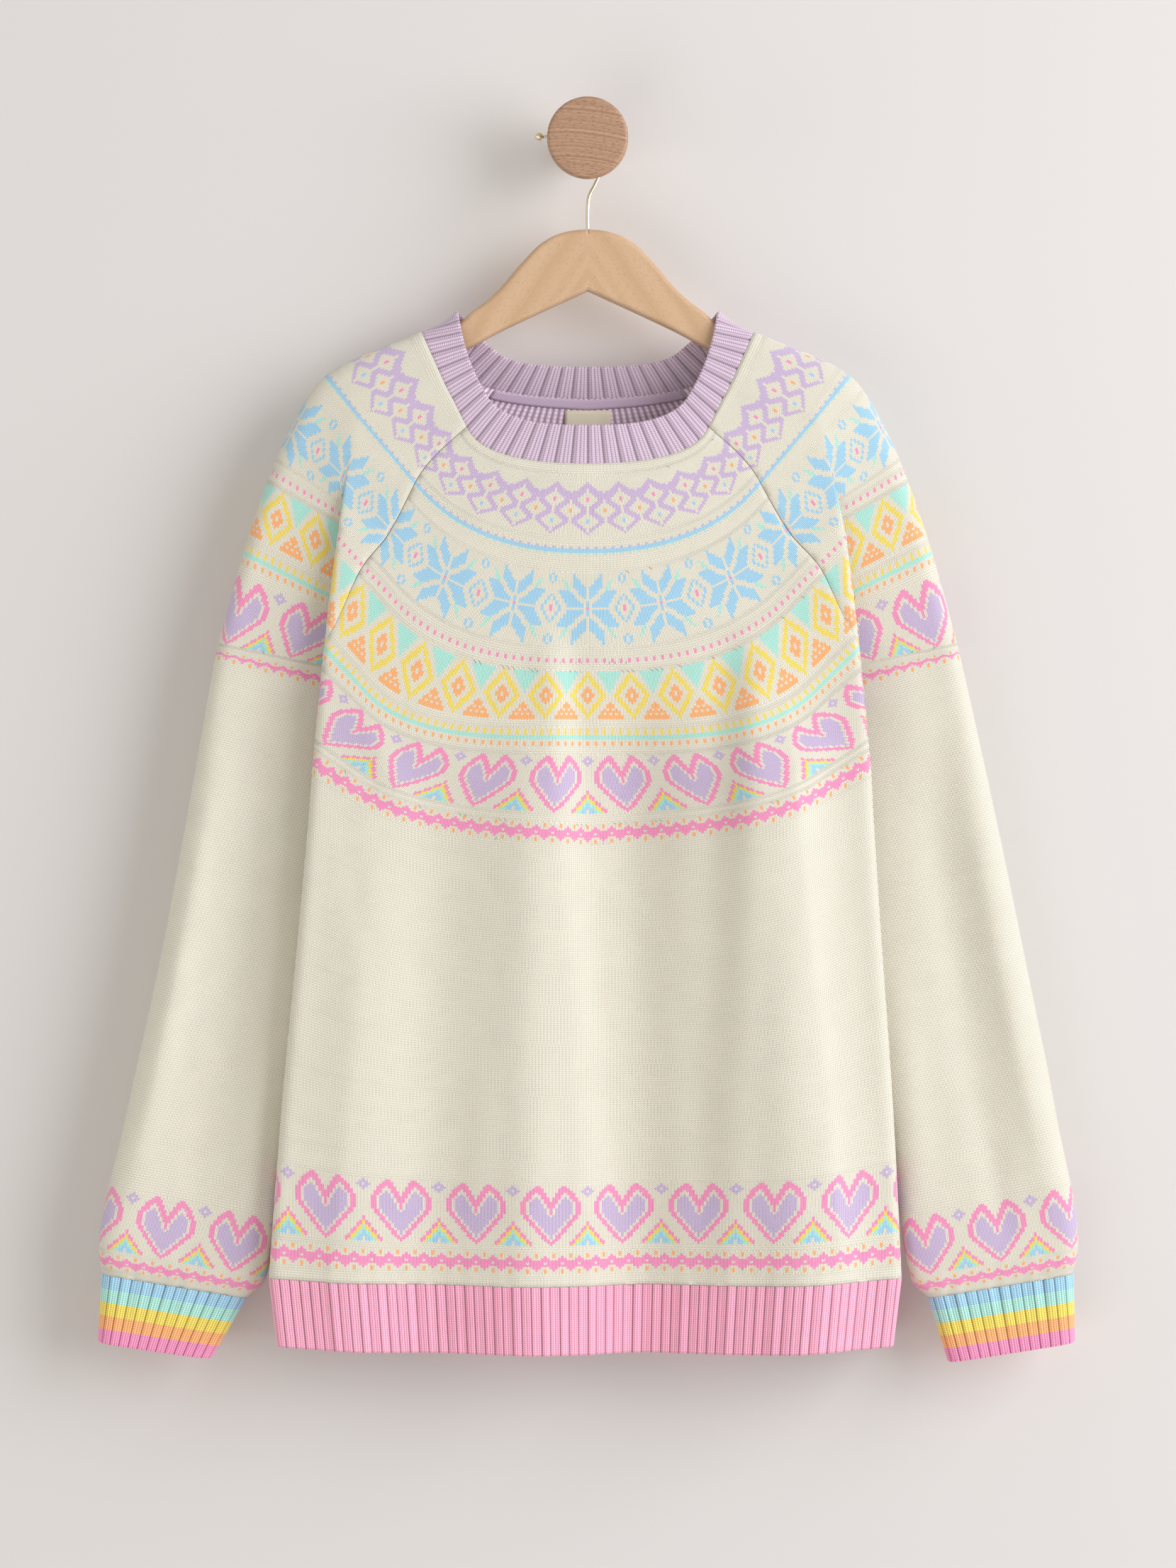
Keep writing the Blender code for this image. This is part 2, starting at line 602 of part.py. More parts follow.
def make_tape_and_label():
    """The tape lies on the inside of the back neck seam, and the label hangs under it."""
    half_columns = np.linspace(-0.84, 0.84, 15)
    rows = []
    for row in (0.0006, 0.0006 + TAPE_WIDTH):
        points, lengths, _, back_seam, _ = row_loop(row, "right")
        reach = lengths[-1] - back_seam
        places = lengths[-1] - np.abs(half_columns) * reach
        found = along(points, lengths, places)
        found[:, 0] *= np.sign(half_columns)
        rows.append(found)
    grid = np.array(rows)
    inside = grid + np.array([0.0, -WALL - SEAM_GAP - 0.0004, 0.0])
    thin_sheet("neck_tape", inside, TAPE_THICKNESS, "lavender_wool")
    width, height, thickness = LABEL_SIZE
    top = inside[1, 7] + np.array([0.0, 0.0, -0.0003])
    face = top[1] - TAPE_THICKNESS / 2
    bpy.ops.mesh.primitive_cube_add(size=1.0, location=(0.0, face, top[2] - height / 2))
    label = bpy.context.object
    label.name = "label"
    label.scale = (width, thickness, height)
    label.data.materials.append(material("label_weave"))


def thin_sheet(name, grid, thickness, look):
    data = grid - np.array([0.0, thickness, 0.0])
    rows, columns = grid.shape[:2]
    points = np.concatenate([grid.reshape(-1, 3), data.reshape(-1, 3)])
    back = rows * columns
    faces = []
    for i in range(columns - 1):
        quad = (i, i + 1, columns + i + 1, columns + i)
        faces.append(quad)
        faces.append(tuple(back + k for k in reversed(quad)))
    rim = list(range(columns)) + list(range(2 * columns - 1, columns - 1, -1))
    for a, b in zip(rim, rim[1:] + rim[:1]):
        faces.append((a, back + a, back + b, b))
    return add_mesh(name, points, faces, look)


def make_hanger():
    """Two halves of a flat wooden hanger, mitred at the centre."""
    for side, sign in (("left", -1.0), ("right", 1.0)):
        outline = HANGER_TOP + HANGER_END + HANGER_UNDERSIDE
        curve = bpy.data.curves.new(f"hanger_{side}", "CURVE")
        curve.dimensions = "2D"
        curve.fill_mode = "BOTH"
        curve.extrude = HANGER_THICKNESS / 2 - HANGER_ROUNDING
        curve.bevel_depth = HANGER_ROUNDING
        curve.offset = -HANGER_ROUNDING
        curve.bevel_resolution = 1
        curve.resolution_u = 1
        spline = curve.splines.new("POLY")
        spline.points.add(len(outline) - 1)
        for point, (x, z) in zip(spline.points, outline):
            point.co = (sign * max(x, SEAM_GAP / 2), z, 0.0, 1.0)
        spline.use_cyclic_u = True
        made = bpy.data.objects.new(f"hanger_{side}", curve)
        made.location = (0.0, MID_Y, 0.0)
        made.rotation_euler = (math.pi / 2, 0.0, 0.0)
        made.data.materials.append(material("beech"))
        bpy.context.scene.collection.objects.link(made)


def hook_route():
    """The wire's centre line in the hook's plane, from the hanger's top over the peg to its free end."""
    route = [(0.0, -0.0544), (0.0, -0.0420), (0.0010, -0.0340), (0.0045, -0.0270), (0.0085, -0.0170)]
    for degrees in range(-20, 171, 19):
        angle = math.radians(degrees)
        route.append((HOOK_RADIUS * math.cos(angle), HOOK_RADIUS * math.sin(angle)))
    route += [(-0.0117, 0.0010), (-0.0145, 0.0022), (-0.0190, 0.0030), (HOOK_TIP[0] + 0.0025, HOOK_TIP[1])]
    return route


def make_hook():
    curve = bpy.data.curves.new("hanger_hook", "CURVE")
    curve.dimensions = "3D"
    curve.bevel_depth = WIRE_RADIUS
    curve.bevel_resolution = 1
    curve.use_fill_caps = True
    curve.resolution_u = 1
    route = hook_route()
    spline = curve.splines.new("POLY")
    spline.points.add(len(route) - 1)
    for point, (x, z) in zip(spline.points, route):
        point.co = (x, MID_Y, z, 1.0)
    made = bpy.data.objects.new("hanger_hook", curve)
    made.data.materials.append(material("brass"))
    bpy.context.scene.collection.objects.link(made)
    bpy.ops.mesh.primitive_uv_sphere_add(
        segments=10, ring_count=7, radius=HOOK_BALL_RADIUS,
        location=(HOOK_TIP[0] - HOOK_BALL_RADIUS + 0.0022, MID_Y, HOOK_TIP[1]),
    )
    ball = bpy.context.object
    ball.name = "hook_ball"
    ball.data.materials.append(material("brass"))


def make_peg():
    """The shaft stands out of the wall, and the disc is its head."""
    bpy.ops.mesh.primitive_cylinder_add(
        vertices=28, radius=PEG_SHAFT_RADIUS, depth=PEG_SHAFT_LENGTH,
        location=(0.0, -PEG_SHAFT_LENGTH / 2, 0.0), rotation=(math.pi / 2, 0.0, 0.0),
    )
    shaft = bpy.context.object
    shaft.name = "peg_shaft"
    shaft.data.materials.append(material("ash_wood"))
    bpy.ops.mesh.primitive_cylinder_add(
        vertices=48, radius=PEG_DISC_RADIUS, depth=PEG_DISC_THICKNESS,
        location=(0.0, -PEG_SHAFT_LENGTH - SEAM_GAP - PEG_DISC_THICKNESS / 2, 0.0),
        rotation=(math.pi / 2, 0.0, 0.0),
    )
    disc = bpy.context.object
    disc.name = "peg_disc"
    disc.data.materials.append(material("ash_wood"))
    rounding = disc.modifiers.new("rounding", "BEVEL")
    rounding.width = PEG_DISC_ROUNDING
    rounding.segments = 2
    rounding.limit_method = "ANGLE"


clear_scene()
make_cloth()
make_tape_and_label()
make_hanger()
make_hook()
make_peg()
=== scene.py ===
"""Looks for the patterned yoke jumper on a wooden hanger, hung from a round wall peg.

The cloth is worked out in rows as in the part's source: a row is a line of stitches that lies the same
length of cloth below the neck seam all the way round. Charted bands are built stitch by stitch.
"""
import math

import bmesh
import bpy
import numpy as np
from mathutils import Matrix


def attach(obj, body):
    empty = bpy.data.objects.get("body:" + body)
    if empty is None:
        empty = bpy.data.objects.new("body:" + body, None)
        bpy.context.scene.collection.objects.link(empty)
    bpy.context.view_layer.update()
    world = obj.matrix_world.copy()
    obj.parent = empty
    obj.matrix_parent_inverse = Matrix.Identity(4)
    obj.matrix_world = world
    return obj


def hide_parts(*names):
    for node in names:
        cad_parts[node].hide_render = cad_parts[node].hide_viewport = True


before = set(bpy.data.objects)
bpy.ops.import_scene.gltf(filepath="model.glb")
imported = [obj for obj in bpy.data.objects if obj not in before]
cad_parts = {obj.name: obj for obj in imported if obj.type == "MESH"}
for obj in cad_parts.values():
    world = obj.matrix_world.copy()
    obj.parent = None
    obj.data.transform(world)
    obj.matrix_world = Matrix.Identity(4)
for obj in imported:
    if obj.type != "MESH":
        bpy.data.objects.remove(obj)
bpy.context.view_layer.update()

# The cloth's form: the same tables as the part's source
WALL = 0.0024
SEAM_GAP = 0.0003
UNDERARM_GAP = 0.0022
MID_Y = -0.037
UNDERARM_ROW = 0.231
HEM_ROW = 0.505
FRONT_Y = -0.066
NECK_FRONT_Y = -0.062
BACK_Y = -0.009
NECK_BACK_Y = -0.016
ROW_COLUMNS = (
    "row", "centre_z", "bend_x", "bend_z", "edge_x", "edge_y", "edge_z", "flap",
    "tuck_x", "tuck_y", "tuck_z", "outer_x", "outer_z", "depth", "seam",
)
ROWS = (
    (0.0, -0.201, 0.063, -0.201, 0.085, -0.053, -0.157, 0.0,
     0.086, -0.053, -0.156, 0.103, -0.118, 0.009, 0.78),
    (0.055, -0.2565, 0.07, -0.2565, 0.14, -0.055, -0.174, 0.0,
     0.141, -0.055, -0.173, 0.163, -0.146, 0.009, 0.7),
    (0.09, -0.2906, 0.075, -0.2906, 0.149, -0.057, -0.212, 0.001,
     0.149, -0.056, -0.21, 0.183, -0.176, 0.011, 0.77),
    (0.121, -0.322, 0.085, -0.322, 0.154, -0.059, -0.246, 0.006,
     0.14, -0.053, -0.239, 0.196, -0.205, 0.012, 0.86),
    (0.168, -0.369, 0.11, -0.369, 0.162, -0.06, -0.314, 0.011,
     0.132, -0.048, -0.295, 0.213, -0.255, 0.013, 1.0),
    (0.231, -0.4315, 0.11, -0.424, 0.169, -0.06, -0.387, 0.012,
     0.118, -0.04, -0.347, 0.23, -0.317, 0.013, 2.0),
    (0.254, -0.454, 0.112, -0.4475, 0.171, -0.06, -0.413, 0.012,
     0.12, -0.039, -0.375, 0.23, -0.317, 0.013, 2.0),
    (0.323, -0.523, 0.115, -0.519, 0.178, -0.06, -0.491, 0.012,
     0.143, -0.038, -0.466, 0.23, -0.317, 0.013, 2.0),
    (0.414, -0.614, 0.12, -0.611, 0.188, -0.058, -0.596, 0.016,
     0.17, -0.038, -0.585, 0.23, -0.317, 0.013, 2.0),
    (0.505, -0.706, 0.125, -0.705, 0.196, -0.055, -0.701, 0.02,
     0.193, -0.038, -0.7, 0.23, -0.317, 0.013, 2.0),
)
BACK_COLUMNS = ("row", "centre_z", "bend_x", "bend_z", "edge_z")
BACK_ROWS = (
    (0.000, -0.158, 0.055, -0.156, -0.140),
    (0.055, -0.212, 0.060, -0.209, -0.172),
    (0.121, -0.280, 0.075, -0.276, -0.244),
    (0.168, -0.328, 0.090, -0.324, -0.303),
    (0.231, -0.394, 0.100, -0.392, -0.377),
    (0.323, -0.498, 0.110, -0.497, -0.487),
    (0.505, -0.706, 0.125, -0.705, -0.701),
)
ROUNDING = (0.070, 0.007, 0.007, 0.009, 0.012)
RIGHT_FOLD_OUT = 0.005
SLEEVE_COLUMNS = ("share", "outer_x", "outer_z", "inner_x", "inner_z", "depth", "near_depth")
SLEEVE_ROWS = (
    (0.00, 0.2300, -0.317, 0.1180, -0.347, 0.0130, 0.0015),
    (0.25, 0.2470, -0.413, 0.1410, -0.439, 0.0135, 0.0050),
    (0.50, 0.2650, -0.509, 0.1640, -0.531, 0.0140, 0.0080),
    (0.75, 0.2855, -0.603, 0.1860, -0.624, 0.0150, 0.0105),
    (0.95, 0.3020, -0.685, 0.1995, -0.704, 0.0150, 0.0120),
    (1.00, 0.3005, -0.700, 0.2105, -0.715, 0.0120, 0.0105),
)
RIGHT_SLEEVE_BOW = 0.006
CUFF_DEPTH = 0.0130
CUFF_HEIGHT = 0.040
CUFF_BOTTOM = {
    "left": ((0.3030, -0.741), (0.2320, -0.752)),
    "right": ((0.3015, -0.741), (0.2225, -0.754)),
}
FOLD_COLUMNS = ("x_yoke", "x_hem", "width", "height", "starts_z")
FRONT_FOLDS = (
    (-0.140, -0.150, 0.026, 0.0045, -0.380),
    (-0.088, -0.098, 0.026, -0.0060, -0.330),
    (-0.030, -0.036, 0.024, 0.0070, -0.290),
    (0.020, 0.034, 0.030, -0.0150, -0.290),
    (0.108, 0.134, 0.036, 0.0155, -0.280),
)
BACK_FOLDS = (
    (-0.095, -0.112, 0.030, 0.0040, -0.360),
    (-0.040, -0.052, 0.024, -0.0050, -0.310),
    (0.012, 0.020, 0.028, 0.0045, -0.280),
    (0.070, 0.082, 0.024, -0.0055, -0.330),
    (0.118, 0.136, 0.026, 0.0035, -0.400),
)
FOLD_GROWTH = 0.150
NECK_HEIGHT = 0.022
NECK_TOP = {
    "front_y": -0.060, "front_z": -0.178, "side_x": 0.082, "side_z": -0.1055,
    "back_y": -0.017, "back_z": -0.139,
}
RIB_DEPTH = 0.0011
RIBS = {"neck": 58, "hem": 148, "cuff": 30}
TAPE_WIDTH = 0.0064
LABEL_WIDTH = 0.0287
LABEL_HEIGHT = 0.0200
HANGER_THICKNESS = 0.012
HANGER_TOP = (
    (0.0000, -0.0549), (0.0100, -0.0557), (0.0190, -0.0581), (0.0260, -0.0617), (0.0325, -0.0668),
    (0.0435, -0.0786), (0.0530, -0.0900), (0.0625, -0.0990), (0.0720, -0.1060), (0.0800, -0.1131),
    (0.1030, -0.1270), (0.1350, -0.1395), (0.1540, -0.1495),
)
HANGER_END = ((0.1600, -0.1560), (0.1560, -0.1640))
HANGER_UNDERSIDE = (
    (0.1400, -0.1600), (0.1100, -0.1475), (0.0730, -0.1282), (0.0550, -0.1185), (0.0330, -0.1080),
    (0.0000, -0.0928),
)
PEG_DISC_RADIUS = 0.025
PEG_DISC_THICKNESS = 0.012
PEG_SHAFT_RADIUS = 0.009
PEG_SHAFT_LENGTH = 0.0465
WIRE_RADIUS = 0.0012
HOOK_RADIUS = PEG_SHAFT_RADIUS + SEAM_GAP + WIRE_RADIUS
HOOK_TIP = (-0.0290, 0.0030)
HOOK_BALL_RADIUS = 0.0029

# Finer creases than the solids have: ends (x, z), width, and height towards the viewer
CREASE_COLUMNS = ("x0", "z0", "x1", "z1", "width", "height")
FRONT_CREASES = (
    (-0.150, -0.330, -0.105, -0.430, 0.010, 0.0016),
    (-0.158, -0.400, -0.130, -0.520, 0.009, -0.0012),
    (0.158, -0.335, 0.112, -0.450, 0.011, 0.0018),
    (0.163, -0.410, 0.140, -0.560, 0.009, -0.0014),
    (-0.062, -0.560, -0.070, -0.690, 0.009, 0.0012),
    (0.060, -0.500, 0.072, -0.690, 0.010, -0.0012),
    (-0.004, -0.600, -0.006, -0.700, 0.007, 0.0012),
    (0.142, -0.590, 0.158, -0.700, 0.010, 0.0016),
    (-0.168, -0.560, -0.176, -0.690, 0.008, 0.0012),
)
FLANK_COLUMNS = ("x_yoke", "x_hem", "width", "height", "starts_z", "at_hem")
FRONT_FLANKS = (
    (-0.018, 0.012, 0.012, -0.0060, -0.285, 0.25),
    (0.094, 0.078, 0.015, 0.0070, -0.290, 0.35),
)
BACK_CREASES = (
    (-0.140, -0.340, -0.095, -0.460, 0.011, -0.0018),
    (0.150, -0.345, 0.105, -0.470, 0.011, -0.0016),
    (-0.010, -0.480, -0.016, -0.680, 0.010, -0.0012),
    (0.045, -0.520, 0.050, -0.690, 0.009, 0.0013),
    (-0.080, -0.560, -0.090, -0.690, 0.010, -0.0012),
    (0.095, -0.250, 0.110, -0.360, 0.012, 0.0010),
)
SLEEVE_CREASES = {
    "left": (
        (0.182, -0.300, 0.205, -0.420, 0.016, -0.0022),
        (0.218, -0.330, 0.292, -0.715, 0.012, 0.0060),
        (0.184, -0.320, 0.240, -0.700, 0.018, -0.0060),
        (0.196, -0.540, 0.216, -0.690, 0.009, 0.0016),
        (0.232, -0.560, 0.250, -0.700, 0.009, -0.0014),
    ),
    "right": (
        (0.180, -0.290, 0.214, -0.430, 0.015, 0.0020),
        (0.203, -0.340, 0.258, -0.680, 0.014, -0.0040),
        (0.230, -0.340, 0.294, -0.700, 0.012, 0.0040),
        (0.188, -0.480, 0.208, -0.690, 0.012, 0.0024),
        (0.240, -0.580, 0.262, -0.700, 0.008, -0.0014),
    ),
}
SEAM_DIP = 0.0007
SEAM_DIP_WIDTH = 0.0018

# Yarns, in linear colour
YARNS = {
    ".": (0.745, 0.707, 0.592),
    "L": (0.600, 0.470, 0.665),
    "V": (0.580, 0.470, 0.665),
    "B": (0.370, 0.630, 0.810),
    "M": (0.425, 0.770, 0.670),
    "Y": (0.880, 0.690, 0.135),
    "O": (0.960, 0.450, 0.190),
    "P": (0.900, 0.310, 0.520),
    "neck": (0.605, 0.470, 0.585),
    "inside": (0.960, 0.740, 0.900),
    "hem": (0.940, 0.420, 0.570),
}


def lattice_yarn(c, r):
    """Lavender points that meet, with a cream ring round each coloured seed."""
    for at_c, at_r, yarn in ((0, 10, "P"), (6, 15, "O"), (0, 20, "B")):
        if c == at_c and r in (at_r, at_r + 1):
            return yarn
        if abs(c - at_c) / 3.5 + abs(r - at_r - 0.5) / 4.8 <= 1:
            return "."
    return "L" if 3 + 0.8 * c <= r <= 26 - 0.85 * c else "."


def diamond_yarn(c, r):
    """A yellow diamond with an orange centre, mint points above and dotted orange points below."""
    ring = c / 6.8 + abs(r - 10.5) / 11
    if ring <= 0.40:
        return "." if c == 0 and r in (10, 11) else "O"
    if 0.70 < ring <= 1.0:
        return "Y"
    if r <= 9 and 8 - c <= 4.5 * (1 - r / 9.5):
        return "M"
    if r >= 14 and 8 - c <= 0.6 * (r - 13):
        return "." if r in (17, 19) and (c + r // 2) % 2 else "O"
    return "."


def between_hearts(o, r):
    """A small ring flower over nested chevrons. o counts from the middle between two hearts."""
    if 0 < o + abs(r - 2) <= 2:
        return "V"
    below = r - (16 + 1.5 * o)
    if o > 6 or below < 0 or below >= 9:
        return "."
    return "PPYYMMBBB"[int(below)]


# Charts: "half" ones run from the middle of a motif to the middle between two motifs
LATTICE = ["".join(lattice_yarn(c, r) for c in range(7)) for r in range(28)]
STRIPE = ("V..", "BBB", "BBB", "M..")
STAR_HALF = """
    P.........B..P B.BBBBBB..B..P B.BBBBBB...B.. B..BBBBBB..B.. ....BBBBB...B. .B...BBBBB..B.
    .BB..BBBBB...B .BBB..BBBBB... .BBB...BBBB... .BBBB..M...... .BBBBB.MM..... ..BBBB..M.....
    ...BBB..M....B ...BBB...M..B. ....BB......B. .....B......B. .....B.......B
""".split()
STARS = STAR_HALF[::-1] + STAR_HALF[1:]
PINK_TICKS = ("P..", "P..")
DIAMONDS = ["".join(diamond_yarn(c, r) for c in range(9)) for r in range(22)]
FINE_TICKS = ("Y..", "Y..", "Y..", "MMM", "MMM", "...", "O..", "O..")
HEART_HALF = """
    ....PP..... ...PPPP.... ...PPPPP... ..PPP.PPP.. ..PP...PP.. .PPP.V.PPP. .PP.VVV.PP.
    PPP.VVVV.PP PP.VVVVV.PP PP.VVVVV.PP P.VVVVVV.PP P.VVVVVV.PP P.VVVVVV.PP .VVVVVV.PP.
    VVVVVVV.PP. VVVVVV.PP.. VVVVV.PP... VVVVV.PP... VVVV.PP.... VVV.PP..... VVV.PP.....
    VV.PP...... V.PP....... V.PP....... .PP........ PP......... P..........
""".split()


def heart_yarn(c, r):
    """Half a heart, and over its outer columns the small motifs between two hearts."""
    if c > 10 or (c > 6 and r > 19 and HEART_HALF[r][c] == "."):
        return between_hearts(13 - c, r)
    return HEART_HALF[r][c]


HEARTS = ["".join(heart_yarn(c, r) for c in range(14)) for r in range(len(HEART_HALF))]
CHAIN = ("O.....", "O..P..", "..PPP.", "PPPPPP", "PPP.PP", "PPPPPP", "PP...P", "P..O..", "...O..")
# A stitch's width and height, how far its two legs are staggered, and the plain cloth's coarser step
STITCH = 0.00175
ROW = 0.001333
CHEVRON = 0.24
COARSE = 2
HALF_STITCH = 0.5
# Each band: first row, chart, whether it is a half, stitch width, and its shift in stitches
YOKE_BANDS = (
    (0.0073, LATTICE, True, 0.00174, 0),
    (0.0508, STRIPE, False, 0.00174, 0),
    (0.0677, STARS, True, 0.001745, 0),
    (0.1197, PINK_TICKS, False, 0.00170, 0),
    (0.1276, DIAMONDS, True, 0.00168, 0),
    (0.1627, FINE_TICKS, False, 0.00168, 0),
    (0.1795, HEARTS, True, 0.00168, 13),
    (0.2225, CHAIN, False, 0.00168, 0),
)
HEM_BANDS = ((0.4440, HEARTS, True, 0.00178, 13), (0.4846, CHAIN, False, 0.00178, 0))
# On a sleeve the same two bands start this far above the cuff
SLEEVE_HEARTS_UP = 0.0575
SLEEVE_CHAIN_UP = 0.0185
HEART_PHASE = {"left": 16, "right": 11}
CUFF_STRIPES = "BMYOP"

# A rounding takes at most these shares of a straight run, at a line's ends and within it
END_RUN = 0.98
INNER_RUN = 0.49
# Where the neck's depth has grown to the body's, and where the right fold moves out and back
SETTLED_ROW = 0.09
FOLD_OUT_FROM = 0.055
FOLD_OUT_ROWS = 0.066
FOLD_OUT_FADE = 1.6
HEM_Z = -0.706
HEM_HALF_WIDTH = 0.196
FLANK_GROWTH = 0.060
# Ripples above a rib: length, share and turn of each wave, and their height and fading
RIPPLES = ((0.0094, 1.0, 0.0), (0.0143, 0.6, 1.0))
RIPPLE_HEIGHT = 0.00045
RIPPLE_FADE = 0.009
# Folds end this far from the body's edge, fading over this width, and only on its flat faces
EDGE_PLAIN = 0.010
EDGE_FADE = 0.030
FACE_DEPTH = 0.018
FOLD_SAMPLES = 181
SLEEVE_FACE_DEPTH = 0.010
SLEEVE_EDGE_FADE = 0.012
LAST_YOKE_ROW = UNDERARM_ROW - 0.0002
# The sleeve's oval: how far in its inner edge is round, and how flat that edge is
NEAR_EDGE = 0.012
EDGE_HALF = 0.0005
FULL_EDGE_FROM = 0.006
EDGE_FULLNESS = 0.7
SLEEVE_LENGTH = 0.3830
SLEEVE_END = UNDERARM_ROW + SLEEVE_LENGTH
JOIN_SHARE = 0.10
SIDES = (("left", -1.0), ("right", 1.0))


def smooth_lookup(table, columns, value):
    """The table's columns at a value of its first column, on curves that never overshoot a row."""
    data = np.array(table)
    keys = data[:, 0]
    steps = np.diff(keys)[:, None]
    rises = np.diff(data, axis=0) / steps
    slopes = np.zeros_like(data)
    slopes[0], slopes[-1] = rises[0], rises[-1]
    before, after = rises[:-1], rises[1:]
    agree = before * after > 0
    total = np.where(agree, before + after, 1.0)
    slopes[1:-1] = np.where(agree, 2 * before * after / total, 0.0)
    value = min(max(value, keys[0]), keys[-1])
    i = min(int(np.searchsorted(keys, value, side="right")) - 1, len(keys) - 2)
    width = keys[i + 1] - keys[i]
    t = (value - keys[i]) / width
    found = (
        (1 + 2 * t) * (1 - t) ** 2 * data[i]
        + t * (1 - t) ** 2 * width * slopes[i]
        + t * t * (3 - 2 * t) * data[i + 1]
        + t * t * (t - 1) * width * slopes[i + 1]
    )
    return dict(zip(columns, found))


def run_lengths(points):
    """The length of a line up to each of its points."""
    return np.concatenate([[0.0], np.cumsum(np.linalg.norm(np.diff(points, axis=0), axis=1))])


def rounded_path(corners, cuts, samples=17):
    """A polyline through the corners, each rounded over its cut of length. Also each corner's own place."""
    corners = [np.array(corner, float) for corner in corners]
    points = [corners[0]]
    middles = [0]
    last = len(corners) - 2
    for i, cut in enumerate(cuts, start=1):
        corner = corners[i]
        back, ahead = corners[i - 1] - corner, corners[i + 1] - corner
        back_length = max(np.linalg.norm(back), 1e-9)
        ahead_length = max(np.linalg.norm(ahead), 1e-9)
        start = corner + back / back_length * min(cut, (END_RUN if i == 1 else INNER_RUN) * back_length)
        ahead_share = END_RUN if i == last else INNER_RUN
        end = corner + ahead / ahead_length * min(cut, ahead_share * ahead_length)
        t = np.linspace(0.0, 1.0, samples)[:, None]
        points.extend((1 - t) ** 2 * start + 2 * t * (1 - t) * corner + t * t * end)
        middles.append(len(points) - 1 - samples // 2)
    points.append(corners[-1])
    points = np.array(points)
    lengths = run_lengths(points)
    return points, lengths, lengths[middles]


def along(points, lengths, places):
    """Points at places of length along a line."""
    return np.stack([np.interp(places, lengths, points[:, k]) for k in range(3)], axis=-1)


def eased(t):
    """From 0 to 1 with soft ends."""
    t = np.clip(t, 0.0, 1.0)
    return t * t * (3 - 2 * t)


def outward_normals(down, across):
    """Unit vectors across both directions of a grid."""
    normal = np.cross(down, across)
    return normal / np.maximum(np.linalg.norm(normal, axis=-1, keepdims=True), 1e-12)


def row_loop(row, side):
    """Half of a row, from centre front over the sleeve's outer edge to centre back, and its seams."""
    f = smooth_lookup(ROWS, ROW_COLUMNS, row)
    b = smooth_lookup(BACK_ROWS, BACK_COLUMNS, row)
    settled = min(1.0, row / SETTLED_ROW)
    front_y = NECK_FRONT_Y + (FRONT_Y - NECK_FRONT_Y) * settled
    back_y = NECK_BACK_Y + (BACK_Y - NECK_BACK_Y) * settled
    out = 0.0
    if side == "right":
        lower = min(1.0, max(0.0, (row - UNDERARM_ROW) / (HEM_ROW - UNDERARM_ROW)))
        out = RIGHT_FOLD_OUT * min(1.0, max(0.0, (row - FOLD_OUT_FROM) / FOLD_OUT_ROWS))
        out *= 1.0 - lower * FOLD_OUT_FADE
    edge_x = f["edge_x"] + out
    half = f["flap"] / 2
    back_edge_y = 2 * MID_Y - f["edge_y"]
    tuck = (f["tuck_x"], f["tuck_y"], f["tuck_z"])
    tuck_back = (f["tuck_x"], 2 * MID_Y - f["tuck_y"], f["tuck_z"])
    front = [
        (0.0, front_y, f["centre_z"]),
        (f["bend_x"], front_y + 0.001, f["bend_z"]),
        (edge_x, f["edge_y"] - half, f["edge_z"]),
        (edge_x, f["edge_y"] + half, f["edge_z"]),
        tuck,
    ]
    back = [
        tuck_back,
        (edge_x, back_edge_y - half, b["edge_z"]),
        (edge_x, back_edge_y + half, b["edge_z"]),
        (b["bend_x"], back_y, b["bend_z"]),
        (0.0, back_y, b["centre_z"]),
    ]
    bend, edge, flap, tuck_cut, outer = ROUNDING
    if row < UNDERARM_ROW - 1e-6:
        sleeve = [
            (f["outer_x"], MID_Y - f["depth"], f["outer_z"]),
            (f["outer_x"], MID_Y + f["depth"], f["outer_z"]),
        ]
        cuts = (bend, edge, flap, tuck_cut, outer, outer, tuck_cut, flap, edge, bend)
    else:
        sleeve = []
        cuts = (bend, edge, flap, tuck_cut, tuck_cut, flap, edge, bend)
    points, lengths, at = rounded_path(front + sleeve + back, cuts)
    edge_at, back_edge_at = 0.5 * (at[2] + at[3]), 0.5 * (at[-2] + at[-3])
    tuck_at, back_tuck_at = at[4], at[-4]
    if f["seam"] <= 1.0:
        front_seam = f["seam"] * edge_at
        back_seam = lengths[-1] - f["seam"] * (lengths[-1] - back_edge_at)
    else:
        front_seam = edge_at + (f["seam"] - 1.0) * (tuck_at - edge_at)
        back_seam = back_edge_at - (f["seam"] - 1.0) * (back_edge_at - back_tuck_at)
    return points, lengths, front_seam, back_seam


def fold_relief(folds, x, z):
    """How far the soft vertical folds stand towards the viewer at each place."""
    total = np.zeros_like(x)
    for fold in folds:
        f = dict(zip(FOLD_COLUMNS, fold))
        down = np.clip((f["starts_z"] - z) / (f["starts_z"] - HEM_Z), 0.0, 1.0)
        centre = f["x_yoke"] + (f["x_hem"] - f["x_yoke"]) * down
        grown = eased((f["starts_z"] - z) / FOLD_GROWTH)
        total += f["height"] * grown * np.exp(-(((x - centre) / f["width"]) ** 2))
    return total


